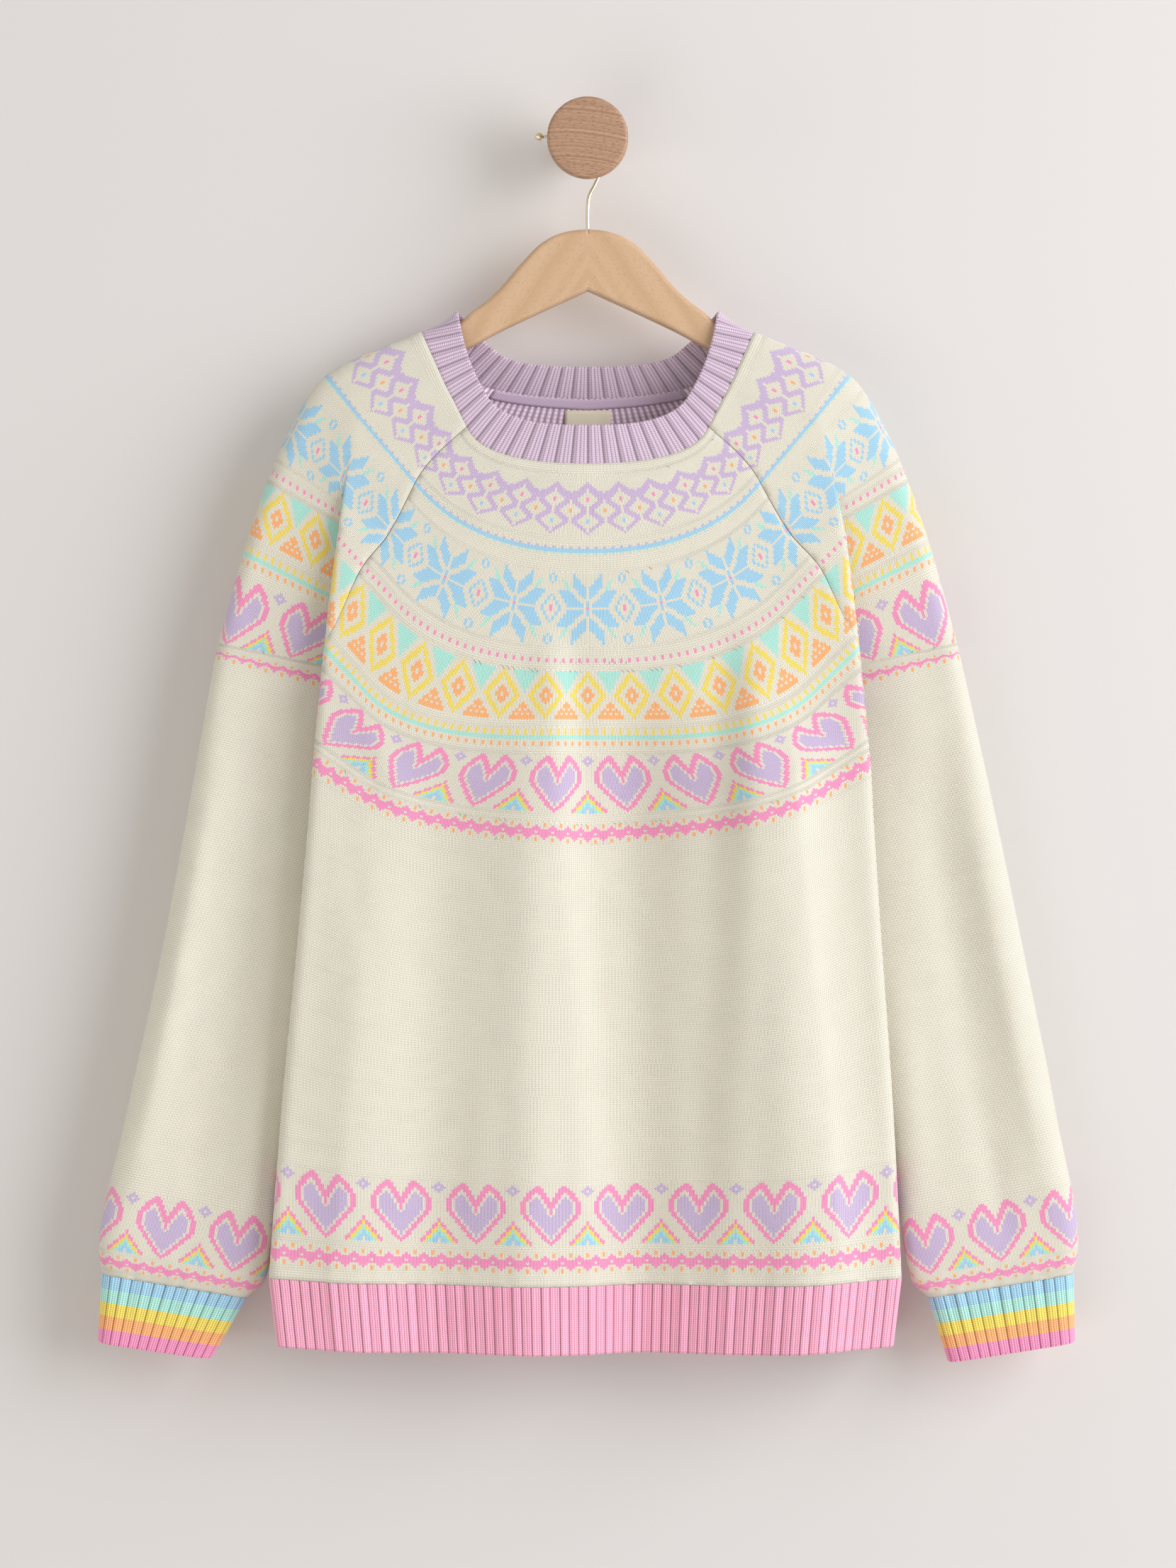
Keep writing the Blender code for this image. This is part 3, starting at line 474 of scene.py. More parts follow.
def flank_relief(x, z):
    """Steep places where the cloth turns from a ridge into a valley and so looks narrower."""
    total = np.zeros_like(x)
    for flank in FRONT_FLANKS:
        f = dict(zip(FLANK_COLUMNS, flank))
        down = np.clip((f["starts_z"] - z) / (f["starts_z"] - HEM_Z), 0.0, 1.0)
        u = (x - f["x_yoke"] - (f["x_hem"] - f["x_yoke"]) * down) / f["width"]
        fade = 1.0 - (1.0 - f["at_hem"]) * down
        total += f["height"] * eased((f["starts_z"] - z) / FLANK_GROWTH) * fade * u * np.exp(-u * u)
    return total


def gathers(x, left):
    """Small ripples where the cloth is drawn in by a rib, fading with the cloth left above it."""
    wave = sum(size * np.sin(x * 2 * math.pi / length + turn) for length, size, turn in RIPPLES)
    return RIPPLE_HEIGHT * wave * math.exp(-max(left, 0.0) / RIPPLE_FADE)


def seam_dip(left):
    """The cloth sinks a little beside a seam, left metres away."""
    return SEAM_DIP * np.exp(-((left / SEAM_DIP_WIDTH) ** 2))


def crease_relief(creases, x, z):
    """Short soft creases, each along a line, deepest at its middle."""
    total = np.zeros_like(x)
    for crease in creases:
        c = dict(zip(CREASE_COLUMNS, crease))
        run = np.array([c["x1"] - c["x0"], c["z1"] - c["z0"]])
        t = ((x - c["x0"]) * run[0] + (z - c["z0"]) * run[1]) / (run @ run)
        off = (x - c["x0"]) * run[1] - (z - c["z0"]) * run[0]
        off = off / np.linalg.norm(run)
        taper = np.clip(1.0 - (2 * t - 1) ** 2, 0.0, 1.0) ** 1.5
        total += c["height"] * taper * np.exp(-((off / c["width"]) ** 2))
    return total


class BodySide:
    """Half of a body panel: points of a row at shares of the way from its centre line to its seam."""

    def __init__(self, which, side):
        self.which, self.side = which, side
        self.sign = 1.0 if side == "right" else -1.0
        self.front = which == "front"

    def ends(self, row):
        points, lengths, front_seam, back_seam = row_loop(row, self.side)
        if self.front:
            return points, lengths, 0.0, front_seam - SEAM_GAP / 2
        return points, lengths, lengths[-1], back_seam + SEAM_GAP / 2

    def reach(self, row):
        _, _, start, end = self.ends(row)
        return abs(end - start)

    def at(self, row, shares):
        """Points of a row with its folds, at even steps of the folded cloth."""
        fine = self.folded(row, np.linspace(0.0, 1.0, FOLD_SAMPLES))
        lengths = run_lengths(fine)
        return along(fine, lengths, shares * lengths[-1])

    def folded(self, row, shares):
        """Points at shares of the unfolded row, moved by its folds and creases."""
        points, lengths, start, end = self.ends(row)
        found = along(points, lengths, start + (end - start) * shares)
        edge = smooth_lookup(ROWS, ROW_COLUMNS, row)["edge_x"]
        window = np.clip((edge - EDGE_PLAIN - found[:, 0]) / EDGE_FADE, 0.0, 1.0)
        window *= np.abs(found[:, 1] - MID_Y) > FACE_DEPTH
        folds, creases, lift = FRONT_FOLDS, FRONT_CREASES, -1.0
        if not self.front:
            folds, creases, lift = BACK_FOLDS, BACK_CREASES, 1.0
        x, z = self.sign * found[:, 0], found[:, 2]
        relief = fold_relief(folds, x, z) + crease_relief(creases, x, z)
        if self.front:
            relief += flank_relief(x, z)
        relief *= window
        if row < UNDERARM_ROW:
            relief -= seam_dip((1.0 - shares) * abs(end - start))
        relief += gathers(x, HEM_ROW - row) * window
        found[:, 1] += relief * lift
        found[:, 0] *= self.sign
        return found


def oval_section(outer, inner, depth, near_depth):
    """A flat oval from its inner edge round the front, the outer edge and the back."""
    near = inner + (outer - inner) / np.linalg.norm(outer - inner) * NEAR_EDGE
    half = [(inner, EDGE_HALF), (near, near_depth), (outer, depth)]
    cuts = [0.010, 0.012]
    if near_depth > FULL_EDGE_FROM:
        half.insert(1, (inner, near_depth * EDGE_FULLNESS))
        cuts.insert(0, 0.010)
    front = [place + np.array([0.0, MID_Y - y, 0.0]) for place, y in half]
    back = [place + np.array([0.0, MID_Y + y, 0.0]) for place, y in half[::-1]]
    points, lengths, _ = rounded_path(front + back, cuts + cuts[::-1])
    return points, lengths


def sleeve_section(share, side):
    """A row of the sleeve below the underarm, from its underarm seam round the front and back to it."""
    s = smooth_lookup(SLEEVE_ROWS, SLEEVE_COLUMNS, share)
    bow = RIGHT_SLEEVE_BOW * math.sin(math.pi * min(share, 1.0)) if side == "right" else 0.0
    outer = np.array([s["outer_x"] + bow, 0.0, s["outer_z"]])
    inner = np.array([s["inner_x"] + bow * 0.5, 0.0, s["inner_z"]])
    return oval_section(outer, inner, s["depth"], s["near_depth"])


class Sleeve:
    """A sleeve: rows of its yoke part, then of its tube, from the front seam edge to the back one."""

    def __init__(self, side):
        self.side = side
        self.sign = 1.0 if side == "right" else -1.0
        self.last_yoke = self.yoke(LAST_YOKE_ROW)

    def yoke(self, row):
        """A row above the underarm, where its gap to the body widens towards the underarm."""
        points, lengths, front_seam, back_seam = row_loop(row, self.side)
        near = max(0.0, (row - 0.200) / (UNDERARM_ROW - 0.200))
        gap = SEAM_GAP + (UNDERARM_GAP - SEAM_GAP) * min(near, 1.0)
        return points, lengths, front_seam + gap / 2, back_seam - gap / 2

    def ends(self, row):
        if row < LAST_YOKE_ROW:
            return self.yoke(row)
        points, lengths = sleeve_section((row - UNDERARM_ROW) / SLEEVE_LENGTH, self.side)
        return points, lengths, SEAM_GAP / 2, lengths[-1] - SEAM_GAP / 2

    def reach(self, row):
        _, _, start, end = self.ends(row)
        return end - start

    def at(self, row, shares):
        points, lengths, start, end = self.ends(row)
        found = along(points, lengths, start + (end - start) * shares)
        below = (row - UNDERARM_ROW) / SLEEVE_LENGTH
        if row >= LAST_YOKE_ROW and below < JOIN_SHARE:
            last, last_lengths, first, final = self.last_yoke
            yoke = along(last, last_lengths, first + (final - first) * shares)
            top, top_lengths = sleeve_section(0.0, self.side)
            tube = along(top, top_lengths, SEAM_GAP / 2 + (top_lengths[-1] - SEAM_GAP) * shares)
            found += (yoke - tube) * (1.0 - below / JOIN_SHARE) ** 2
        lift = np.sign(found[:, 1] - MID_Y)
        outer = smooth_lookup(SLEEVE_ROWS, SLEEVE_COLUMNS, max(below, 0.0))["outer_x"]
        window = np.clip(np.abs(found[:, 1] - MID_Y) / SLEEVE_FACE_DEPTH, 0.0, 1.0) ** 2
        window *= np.clip((outer - found[:, 0]) / SLEEVE_EDGE_FADE, 0.0, 1.0)
        relief = crease_relief(SLEEVE_CREASES[self.side], found[:, 0], found[:, 2]) * window
        relief += gathers(found[:, 0], SLEEVE_END - row) * window
        if row < UNDERARM_ROW:
            relief -= seam_dip(np.minimum(shares, 1.0 - shares) * (end - start))
        found[:, 1] += relief * lift
        found[:, 0] *= self.sign
        return found


class Mesh:
    """Points and faces of one piece, with a yarn colour and stitch coordinates for each face corner."""

    def __init__(self):
        self.points, self.count = [], 0
        self.faces, self.colours, self.uvs, self.inside = [], [], [], []

    def add_points(self, points):
        first = self.count
        self.points.append(points)
        self.count += len(points)
        return np.arange(first, self.count)

    def add_faces(self, faces, colours, uvs, inside=False):
        self.faces.append(np.array(faces))
        self.colours.append(np.broadcast_to(np.array(colours, float), (len(faces), 3)))
        self.uvs.append(np.array(uvs, float))
        self.inside.append(np.full(len(faces), inside))

    def grid(self, upper, lower, colours, upper_uv, lower_uv, inside=False):
        """Quads between two rows of points with as many points."""
        faces = np.stack([upper[:-1], lower[:-1], lower[1:], upper[1:]], axis=1)
        uvs = np.stack([upper_uv[:-1], lower_uv[:-1], lower_uv[1:], upper_uv[1:]], axis=1)
        self.add_faces(faces, colours, uvs, inside)

    def zip(self, upper, lower, colour, upper_uv, lower_uv, upper_t, lower_t, inside=False):
        """Triangles between two rows of points with different counts."""
        faces, uvs = [], []
        i = j = 0
        while i < len(upper) - 1 or j < len(lower) - 1:
            ahead = j == len(lower) - 1 or (i < len(upper) - 1 and upper_t[i + 1] <= lower_t[j + 1])
            if ahead:
                faces.append((upper[i], lower[j], upper[i + 1]))
                uvs.append((upper_uv[i], lower_uv[j], upper_uv[i + 1]))
                i += 1
            else:
                faces.append((upper[i], lower[j], lower[j + 1]))
                uvs.append((upper_uv[i], lower_uv[j], lower_uv[j + 1]))
                j += 1
        self.add_faces(faces, colour, uvs, inside)

    def build(self, name, materials, smooth=True):
        points = np.concatenate(self.points)
        sizes = np.concatenate([np.full(len(f), f.shape[1]) for f in self.faces])
        corners = np.concatenate([f.reshape(-1) for f in self.faces])
        colours = np.concatenate([np.repeat(c, f.shape[1], axis=0) for c, f in zip(self.colours, self.faces)])
        uvs = np.concatenate([u.reshape(-1, 2) for u in self.uvs])
        inside = np.concatenate(self.inside)
        data = bpy.data.meshes.new(name)
        data.vertices.add(len(points))
        data.vertices.foreach_set("co", points.reshape(-1))
        data.loops.add(len(corners))
        data.loops.foreach_set("vertex_index", corners.astype(np.int32))
        data.polygons.add(len(sizes))
        starts = np.concatenate([[0], np.cumsum(sizes)[:-1]])
        data.polygons.foreach_set("loop_start", starts.astype(np.int32))
        data.polygons.foreach_set("use_smooth", np.full(len(sizes), smooth))
        data.polygons.foreach_set("material_index", inside.astype(np.int32))
        layer = data.color_attributes.new("yarn", "FLOAT_COLOR", "CORNER")
        layer.data.foreach_set("color", np.c_[colours, np.ones(len(colours))].reshape(-1))
        uv_map = data.uv_layers.new(name="stitch")
        uv_map.data.foreach_set("uv", uvs.reshape(-1))
        data.update(calc_edges=True)
        data.validate()
        for material in materials:
            data.materials.append(material)
        made = bpy.data.objects.new(name, data)
        bpy.context.scene.collection.objects.link(made)
        return made


def charted(chart, half, k, j):
    """The yarns of stitches k in row j of a chart that repeats sideways."""
    row = chart[j]
    index = np.round(k).astype(int)
    if half:
        repeat = 2 * (len(row) - 1)
        index = np.abs((index + repeat // 2) % repeat - repeat // 2)
    return np.array([YARNS[row[i]] for i in index % len(row)])


def zones(bands, start, end):
    """The cloth from start to end as plain and charted zones: (from, to, chart, half, stitch, phase)."""
    found, at = [], start
    for first, chart, half, stitch, phase in bands:
        if first > at:
            found.append((at, first, None, False, STITCH, 0))
        found.append((first, first + len(chart) * ROW, chart, half, stitch, phase))
        at = first + len(chart) * ROW
    if end > at:
        found.append((at, end, None, False, STITCH, 0))
    return found


class Panel:
    """Builds one panel: spans run from left to right, each with its own stitch count in every zone."""

    def __init__(self, spans):
        self.spans = spans
        self.mesh = Mesh()
        self.rim = {"left": [], "right": []}

    def counts(self, row, step, stitch=STITCH):
        return [max(4, int(round(span.reach(row) / stitch / step))) for span in self.spans]

    def coordinates(self, counts, step):
        """Stitch coordinates of a row's points, and their shares in each span."""
        shares = [np.linspace(0.0, 1.0, count + 1) for count in counts]
        if len(counts) == 2:
            k = np.concatenate([-np.arange(counts[0], 0, -1), np.arange(counts[1] + 1)]) * step
        else:
            k = np.arange(counts[0] + 1) * step
        return k, shares

    def points(self, row, shares):
        if len(self.spans) == 1:
            return self.spans[0].at(row, shares[0])
        left = self.spans[0].at(row, shares[0])[::-1]
        right = self.spans[1].at(row, shares[1])
        return np.concatenate([left[:-1], right])

    def line(self, row, counts, step, chevron=0.0):
        k, shares = self.coordinates(counts, step)
        if chevron:
            high = self.points(row - chevron * ROW, shares)
            low = self.points(row + chevron * ROW, shares)
            centre = np.abs(k - np.round(k)) < 0.25
            found = np.where(centre[:, None], low, high)
        else:
            found = self.points(row, shares)
        index = self.mesh.add_points(found)
        self.rim["left"].append((index[0], row))
        self.rim["right"].append((index[-1], row))
        t = (k - k[0]) / (k[-1] - k[0])
        uv = np.stack([k, np.full(len(k), -row / ROW)], axis=1)
        return {"index": index, "k": k, "t": t, "uv": uv, "row": row}

    def link(self, upper, lower, chart=None, half=False, j=0, phase=0.0):
        colour = YARNS["."]
        if chart is not None:
            middle = (upper["k"][:-1] + upper["k"][1:]) / 2
            colour = charted(chart, half, middle - phase, j)
        if len(upper["index"]) == len(lower["index"]):
            self.mesh.grid(upper["index"], lower["index"], colour, upper["uv"], lower["uv"])
        else:
            self.mesh.zip(
                upper["index"], lower["index"], colour, upper["uv"], lower["uv"], upper["t"], lower["t"]
            )

    def knit(self, found_zones, shift=None):
        """Every zone from the top down, and the first and last rows. shift turns a charted zone sideways."""
        made = []
        for n, (first, last, chart, half, stitch, phase) in enumerate(found_zones):
            if chart is None:
                rows = max(1, int(round((last - first) / (COARSE * ROW))))
                places = np.linspace(first, last, rows + 1)
                if n:
                    places = places[1:]
                if n < len(found_zones) - 1:
                    places = places[:-1]
                for row in places:
                    made.append(self.line(row, self.counts(row, COARSE), COARSE))
                    if len(made) > 1:
                        self.link(made[-2], made[-1])
                continue
            middle = (first + last) / 2
            counts = self.counts(middle, HALF_STITCH, stitch)
            if shift:
                phase += shift(middle, stitch)
            for j in range(len(chart) + 1):
                made.append(self.line(first + j * ROW, counts, HALF_STITCH, CHEVRON))
                if j:
                    self.link(made[-2], made[-1], chart, half, j - 1, phase)
                else:
                    self.link(made[-2], made[-1])
        return made[0], made[-1]


# The colours mixed by the floats on the inside: from row, to row, and the two yarns
PURL_ZONES = (
    (0.0000, 0.041, ("inside", "inside")),
    (0.053, 0.060, ("B", "M")),
    (0.067, 0.112, (".", "B")),
    (0.119, 0.122, ("P", ".")),
    (0.129, 0.159, (".", "Y")),
)
INNER_ROWS = 0.0070
INNER_STEP = 5


def close_panel(panel, top, bottom, outward_sign):
    """Adds the inside and the rims, so that the panel is a closed wall."""
    mesh, sides = panel.mesh, len(panel.spans)
    first, last = top["row"], bottom["row"]
    rows = np.linspace(first, last, max(6, int(round((last - first) / INNER_ROWS))) + 1)
    columns = 2 * (len(bottom["index"]) // (2 * INNER_STEP))
    shares = [np.linspace(0.0, 1.0, columns // sides + 1)] * sides
    grid = np.array([panel.points(row, shares) for row in rows])
    normal = outward_normals(np.gradient(grid, axis=0), np.gradient(grid, axis=1))
    inner = grid - normal * WALL * outward_sign
    k = np.linspace(top["k"][0], top["k"][-1], columns + 1)
    t = np.linspace(0.0, 1.0, columns + 1)
    lines = []
    for row, points in zip(rows, inner):
        uv = np.stack([k, np.full(len(k), -row / ROW)], axis=1)
        lines.append({"index": mesh.add_points(points), "uv": uv, "t": t, "row": row})
    for upper, lower in zip(lines, lines[1:]):
        middle = (upper["row"] + lower["row"]) / 2
        colour = YARNS["."]
        for start, end, pair in PURL_ZONES:
            if start < middle < end:
                colour = 0.5 * (np.array(YARNS[pair[0]]) + np.array(YARNS[pair[1]]))
        mesh.grid(lower["index"], upper["index"], colour, lower["uv"], upper["uv"], inside=True)
    for a, b in ((lines[0], top), (bottom, lines[-1])):
        mesh.zip(a["index"], b["index"], YARNS["."], a["uv"], b["uv"], a["t"], b["t"], True)
    for name, end in (("left", 0), ("right", -1)):
        outer_index, outer_t = (np.array(column) for column in zip(*panel.rim[name]))
        inner_index = np.array([line["index"][end] for line in lines])
        outer_uv = np.stack([np.zeros(len(outer_t)), -outer_t / ROW], axis=1)
        inner_uv = np.stack([np.ones(len(rows)), -rows / ROW], axis=1)
        if name == "left":
            mesh.zip(outer_index, inner_index, YARNS["."], outer_uv, inner_uv, outer_t, rows, True)
        else:
            mesh.zip(inner_index, outer_index, YARNS["."], inner_uv, outer_uv, rows, outer_t, True)


class Nodes:
    """A new material's nodes, with short ways to add and link them."""

    def __init__(self, name):
        self.material = bpy.data.materials.new(name)
        self.material.use_nodes = True
        self.tree = self.material.node_tree
        self.shader = self.tree.nodes["Principled BSDF"]

    def feed(self, node, inputs):
        """Gives a node's sockets their values, or the outputs that they take them from."""
        for key, value in dict(inputs).items():
            if isinstance(value, bpy.types.NodeSocket):
                self.tree.links.new(value, node.inputs[key])
            else:
                node.inputs[key].default_value = value

    def add(self, kind, inputs=(), output=0, **settings):
        """A new node's output."""
        node = self.tree.nodes.new("ShaderNode" + kind)
        for key, value in settings.items():
            setattr(node, key, value)
        self.feed(node, inputs)
        return node.outputs[output]

    def calc(self, operation, *values):
        return self.add("Math", enumerate(values), operation=operation)

    def place(self):
        """The place on the object, in metres."""
        return self.add("TexCoord", output="Object")

    def bump(self, height, strength, distance):
        found = self.add("Bump", {"Height": height, "Strength": strength, "Distance": distance})
        self.feed(self.shader, {"Normal": found})

    def base_ramp(self, value, stops):
        """The base colour from a value between two stops of place and colour."""
        node = self.tree.nodes.new("ShaderNodeValToRGB")
        self.feed(node, {0: value})
        for element, (place, colour) in zip(node.color_ramp.elements, stops):
            element.position = place
            element.color = (*colour, 1.0)
        self.feed(self.shader, {"Base Color": node.outputs[0]})


def knit_material(name, purl=False, depth=0.0005):
    """Wool in stitches: the yarn's colour with painted shade where the V-shaped stitches or purl bumps are
    low, random tone patches, bumped stitches and fibres, and a little sheen.
    """
    made = Nodes(name)
    calc = made.calc
    stitch = made.add("UVMap", uv_map="stitch")
    u, v = (made.add("SeparateXYZ", {0: stitch}, output) for output in (0, 1))

    def wave(value):
        return calc("MULTIPLY_ADD", calc("SINE", calc("MULTIPLY", value, math.pi)), 0.5, 0.5)

    def arch(value):
        return calc("MULTIPLY", calc("MULTIPLY", value, calc("SUBTRACT", 1.0, value)), 4.0)

    if purl:
        height = calc("MULTIPLY", wave(u), calc("MULTIPLY_ADD", wave(v), 0.4, 0.6))
    else:
        off = calc("ABSOLUTE", calc("SUBTRACT", calc("FRACT", calc("ADD", u, 0.5)), 0.5))
        leg = calc("MULTIPLY", off, 2.0)
        row = calc("FRACT", calc("MULTIPLY_ADD", leg, -0.55, v))
        height = calc("MULTIPLY", calc("POWER", arch(leg), 0.6), calc("MULTIPLY_ADD", arch(row), 0.6, 0.4))
    fibres = made.add("TexNoise", {"Vector": made.place(), "Scale": 900.0, "Detail": 3.0})
    patches = made.add("TexNoise", {"Vector": made.place(), "Scale": 60.0})
    made.bump(calc("MULTIPLY_ADD", fibres, 0.35, height), 0.6, depth)
    # painted shade: the base colour is darkened where the stitch height is low, between legs and between
    # rows; the patches add random tone to it
    painted_shade = calc("MULTIPLY_ADD", height, 0.92, calc("MULTIPLY_ADD", patches, 0.10, 0.41))
    yarn = made.add("VertexColor", layer_name="yarn")
    painted_shade_grey = made.add("CombineColor", {0: painted_shade, 1: painted_shade, 2: painted_shade})
    yarn_with_painted_shade = made.add(
        "Mix", {"Factor": 1.0, "A": yarn, "B": painted_shade_grey}, "Result", data_type="RGBA", blend_type="MULTIPLY"
    )
    made.feed(made.shader, {
        "Base Color": yarn_with_painted_shade, "Roughness": 0.92, "Sheen Weight": 0.5, "Sheen Roughness": 0.5,
        "Specular IOR Level": 0.15,
    })
    return made.material


def wood_material(name, pale, dark, angle, centre, spacing, roughness):
    """Wood with slow grain lines round a far centre in the XZ plane, and short flecks along the grain."""
    made = Nodes(name)
    calc, place = made.calc, made.place()
    flat = made.add("VectorMath", {0: place, 1: (1.0, 0.12, 1.0)}, operation="MULTIPLY")
    off = made.add(
        "VectorMath", {0: flat, 1: (centre[0], 0.0, centre[1])}, "Value", operation="DISTANCE"
    )
    wobble = made.add("TexNoise", {"Vector": place, "Scale": 35.0})
    reach = calc("MULTIPLY_ADD", off, 1.0 / spacing, calc("MULTIPLY", wobble, 0.6))
    lines = made.add("TexNoise", {"W": reach, "Scale": 1.0, "Detail": 2.5}, noise_dimensions="1D")
    turned = made.add("Mapping", {"Vector": place, "Rotation": (0.0, angle, 0.0)})
    stretched = made.add("Mapping", {"Vector": turned, "Scale": (350.0, 1700.0, 1700.0)})
    flecks = made.add("TexNoise", {"Vector": stretched, "Scale": 1.0, "Detail": 1.0})
    dark_flecks = calc("MULTIPLY", calc("GREATER_THAN", flecks, 0.60), 0.22)
    mixed = calc("MULTIPLY_ADD", lines, 0.80, calc("MULTIPLY_ADD", flecks, 0.15, dark_flecks))
    made.base_ramp(mixed, ((0.25, pale), (0.75, dark)))
    made.bump(mixed, 0.2, 0.0001)
    made.feed(made.shader, {"Roughness": roughness})
    return made.material


def brass_material():
    made = Nodes("pale_brass")
    noise = made.add("TexNoise", {"Scale": 400.0})
    made.base_ramp(noise, ((0.3, (0.80, 0.70, 0.50)), (0.7, (0.88, 0.80, 0.62))))
    made.feed(made.shader, {"Metallic": 1.0, "Roughness": 0.32})
    return made.material


def woven_material(name, colour, pitch):
    """A fine twill or label weave: diagonal threads in the object's own coordinates."""
    made = Nodes(name)
    wave = made.add(
        "TexWave", {"Vector": made.place(), "Scale": 0.31 / pitch, "Distortion": 0.6}, 1,
        bands_direction="DIAGONAL",
    )
    made.base_ramp(wave, ((0.0, tuple(0.86 * c for c in colour)), (1.0, colour)))
    made.bump(wave, 0.4, 0.0002)
    made.feed(made.shader, {"Roughness": 0.85})
    return made.material


def spread_loop(loop, count):
    """Points at even steps round a closed loop, from its first point."""
    closed = np.concatenate([loop, loop[:1]])
    lengths = run_lengths(closed)
    return along(closed, lengths, np.arange(count) * lengths[-1] / count)


def by_quarters(loop, count):
    """Points round a neck loop from its centre back, as many in each quarter: side, front, side, back."""
    closed = np.concatenate([loop, loop[:1]])
    off_middle = np.abs(loop[:, 1] - MID_Y)
    left = int(np.argmin(off_middle + (loop[:, 0] > 0)))
    right = int(np.argmin(off_middle + (loop[:, 0] < 0)))
    ends = [0, left, int(np.argmin(loop[:, 2])), right, len(loop)]
    found = []
    for first, last in zip(ends, ends[1:]):
        part = closed[first:last + 1]
        lengths = run_lengths(part)
        found.append(along(part, lengths, np.arange(count) * lengths[-1] / count))
    return np.concatenate(found)


def rib_profile(samples, groove):
    """Height of one rib: a groove, two columns of stitches with a line between, and the next groove."""
    t = np.arange(samples) / samples
    line = 0.12 * np.exp(-(((t - 0.5) / 0.06) ** 2))
    return (eased(np.minimum(t, 1.0 - t) / groove) - 1.0 - line) * RIB_DEPTH


def ribbed_band(name, ends, height, ribs, groove, colour_of, inside_ribs, samples, dark):
    """A closed ribbed band between two loops: outside down, round the lower edge, and inside up again. Its
    colour is darkened as painted shade, down to dark in the grooves, and on a plain inside.
    """
    around, half = ribs * samples, WALL / 2
    top, bottom = (spread_loop(loop, around) for loop in ends)
    share = np.linspace(0.0, 1.0, max(6, int(round(height / ROW / 1.5))) + 1)
    base = top[None] * (1 - share[:, None, None]) + bottom[None] * share[:, None, None]
    down = np.gradient(base, axis=0)
    normal = outward_normals(down, np.roll(base, -3, axis=1) - np.roll(base, 3, axis=1))
    if np.sum(normal * (base - base.mean(axis=1, keepdims=True))) < 0:
        normal = -normal
    down /= np.linalg.norm(down, axis=-1, keepdims=True)
    outer_relief = np.tile(rib_profile(samples, groove), ribs)
    inner_relief = outer_relief if inside_ribs else np.zeros(around)

    def rim(line, degrees, bulge):
        """The band's edge, round from one face to the other."""
        found = []
        for angle in np.radians(degrees):
            out = math.cos(angle)
            off = (out - 1.0) * half + abs(out) * (outer_relief if out > 0 else -inner_relief)
            found.append(
                base[line] + normal[line] * off[:, None] + down[line] * math.sin(angle) * half * bulge
            )
        return found

    outer = base + normal * outer_relief[None, :, None]
    inner = base - normal * (WALL + inner_relief[None, :, None])
    edge, upper_edge = rim(-1, (30, 60, 90, 120, 150), 1.0), rim(0, (150, 90, 30), -0.3)
    sections = list(outer) + edge + list(inner[::-1]) + upper_edge
    shares = list(share) + [1.0] * len(edge) + list(share[::-1]) + [0.0] * len(upper_edge)
    inside = range(len(outer) + len(edge), len(outer) + len(edge) + len(inner))
    mesh = Mesh()
    index = [mesh.add_points(points) for points in sections]
    u = np.arange(around + 1) * (2.0 / samples)
    # painted shade: each rib's colour falls to dark at the bottom of its grooves
    painted_shade = dark + (1.0 - dark) * np.clip(1.0 + outer_relief / RIB_DEPTH, 0.0, 1.0)
    painted_pair_shade = (painted_shade + np.roll(painted_shade, -1)) / 2
    for a in range(len(sections)):
        b = (a + 1) % len(sections)
        yarn = np.array(YARNS[colour_of((shares[a] + shares[b]) / 2)])
        colour = yarn[None] * painted_pair_shade[:, None]
        # painted shade: a band's inside without ribs gets 0.85 of its yarn's colour
        if a in inside and not inside_ribs:
            colour = np.broadcast_to(yarn * 0.85, (around, 3))
        v = [-shares[a] * height / ROW, -shares[b] * height / ROW]
        if b == 0:
            v[1] = v[0] - 1.0
        rows = [np.append(index[n], index[n][0]) for n in (a, b)]
        uvs = [np.stack([u, np.full(around + 1, value)], axis=1) for value in v]
        mesh.grid(*rows, colour, *uvs)
    return outward_faces(mesh.build(name, [RIB_WOOL]))


def outward_faces(obj):
    """Turns every face of a closed mesh outwards."""
    mesh = bmesh.new()
    mesh.from_mesh(obj.data)
    bmesh.ops.recalc_face_normals(mesh, faces=mesh.faces)
    mesh.to_mesh(obj.data)
    mesh.free()
    return obj


WOOL = knit_material("wool_knit")
PURL = knit_material("wool_purl", purl=True)
RIB_WOOL = knit_material("wool_rib", depth=0.0004)
TWILL = woven_material("tape_twill", (0.68, 0.52, 0.68), 0.0009)
LABEL_WEAVE = woven_material("label_weave_fine", (0.96, 0.88, 0.68), 0.0005)
BEECH = {
    side: wood_material(
        f"beech_{side}", (0.66, 0.45, 0.28), (0.55, 0.35, 0.20), math.radians(-33 * sign),
        (-0.35 * sign, -0.35), 0.009, 0.40,
    )
    for side, sign in SIDES
}
ASH = wood_material(
    "ash_fine", (0.52, 0.325, 0.205), (0.31, 0.165, 0.095), math.radians(4), (-0.015, -0.14), 0.0016, 0.50
)
BRASS = brass_material()


def knitted_panel(name, spans, bands, end, outward_sign, rim_counts, shift=None):
    """A panel as a closed wall, and the points of its top and bottom rows."""
    panel = Panel(spans)
    first, last = panel.knit(zones(bands, 0.0, end), shift)
    close_panel(panel, first, last, outward_sign)
    rims = [
        panel.points(row, [np.linspace(0.0, 1.0, count)] * len(spans))
        for row, count in zip((0.0, end), rim_counts)
    ]
    return outward_faces(panel.mesh.build(name, [WOOL, PURL])), rims


# Seen from outside, the back's columns also run from its left to its right
pieces, edges = {}, {}
for which, order in (("front", ("left", "right")), ("back", ("right", "left"))):
    spans = [BodySide(which, side) for side in order]
    pieces[which], edges[which] = knitted_panel(
        f"{which}_panel", spans, YOKE_BANDS + HEM_BANDS, HEM_ROW, 1.0, (61, 121)
    )

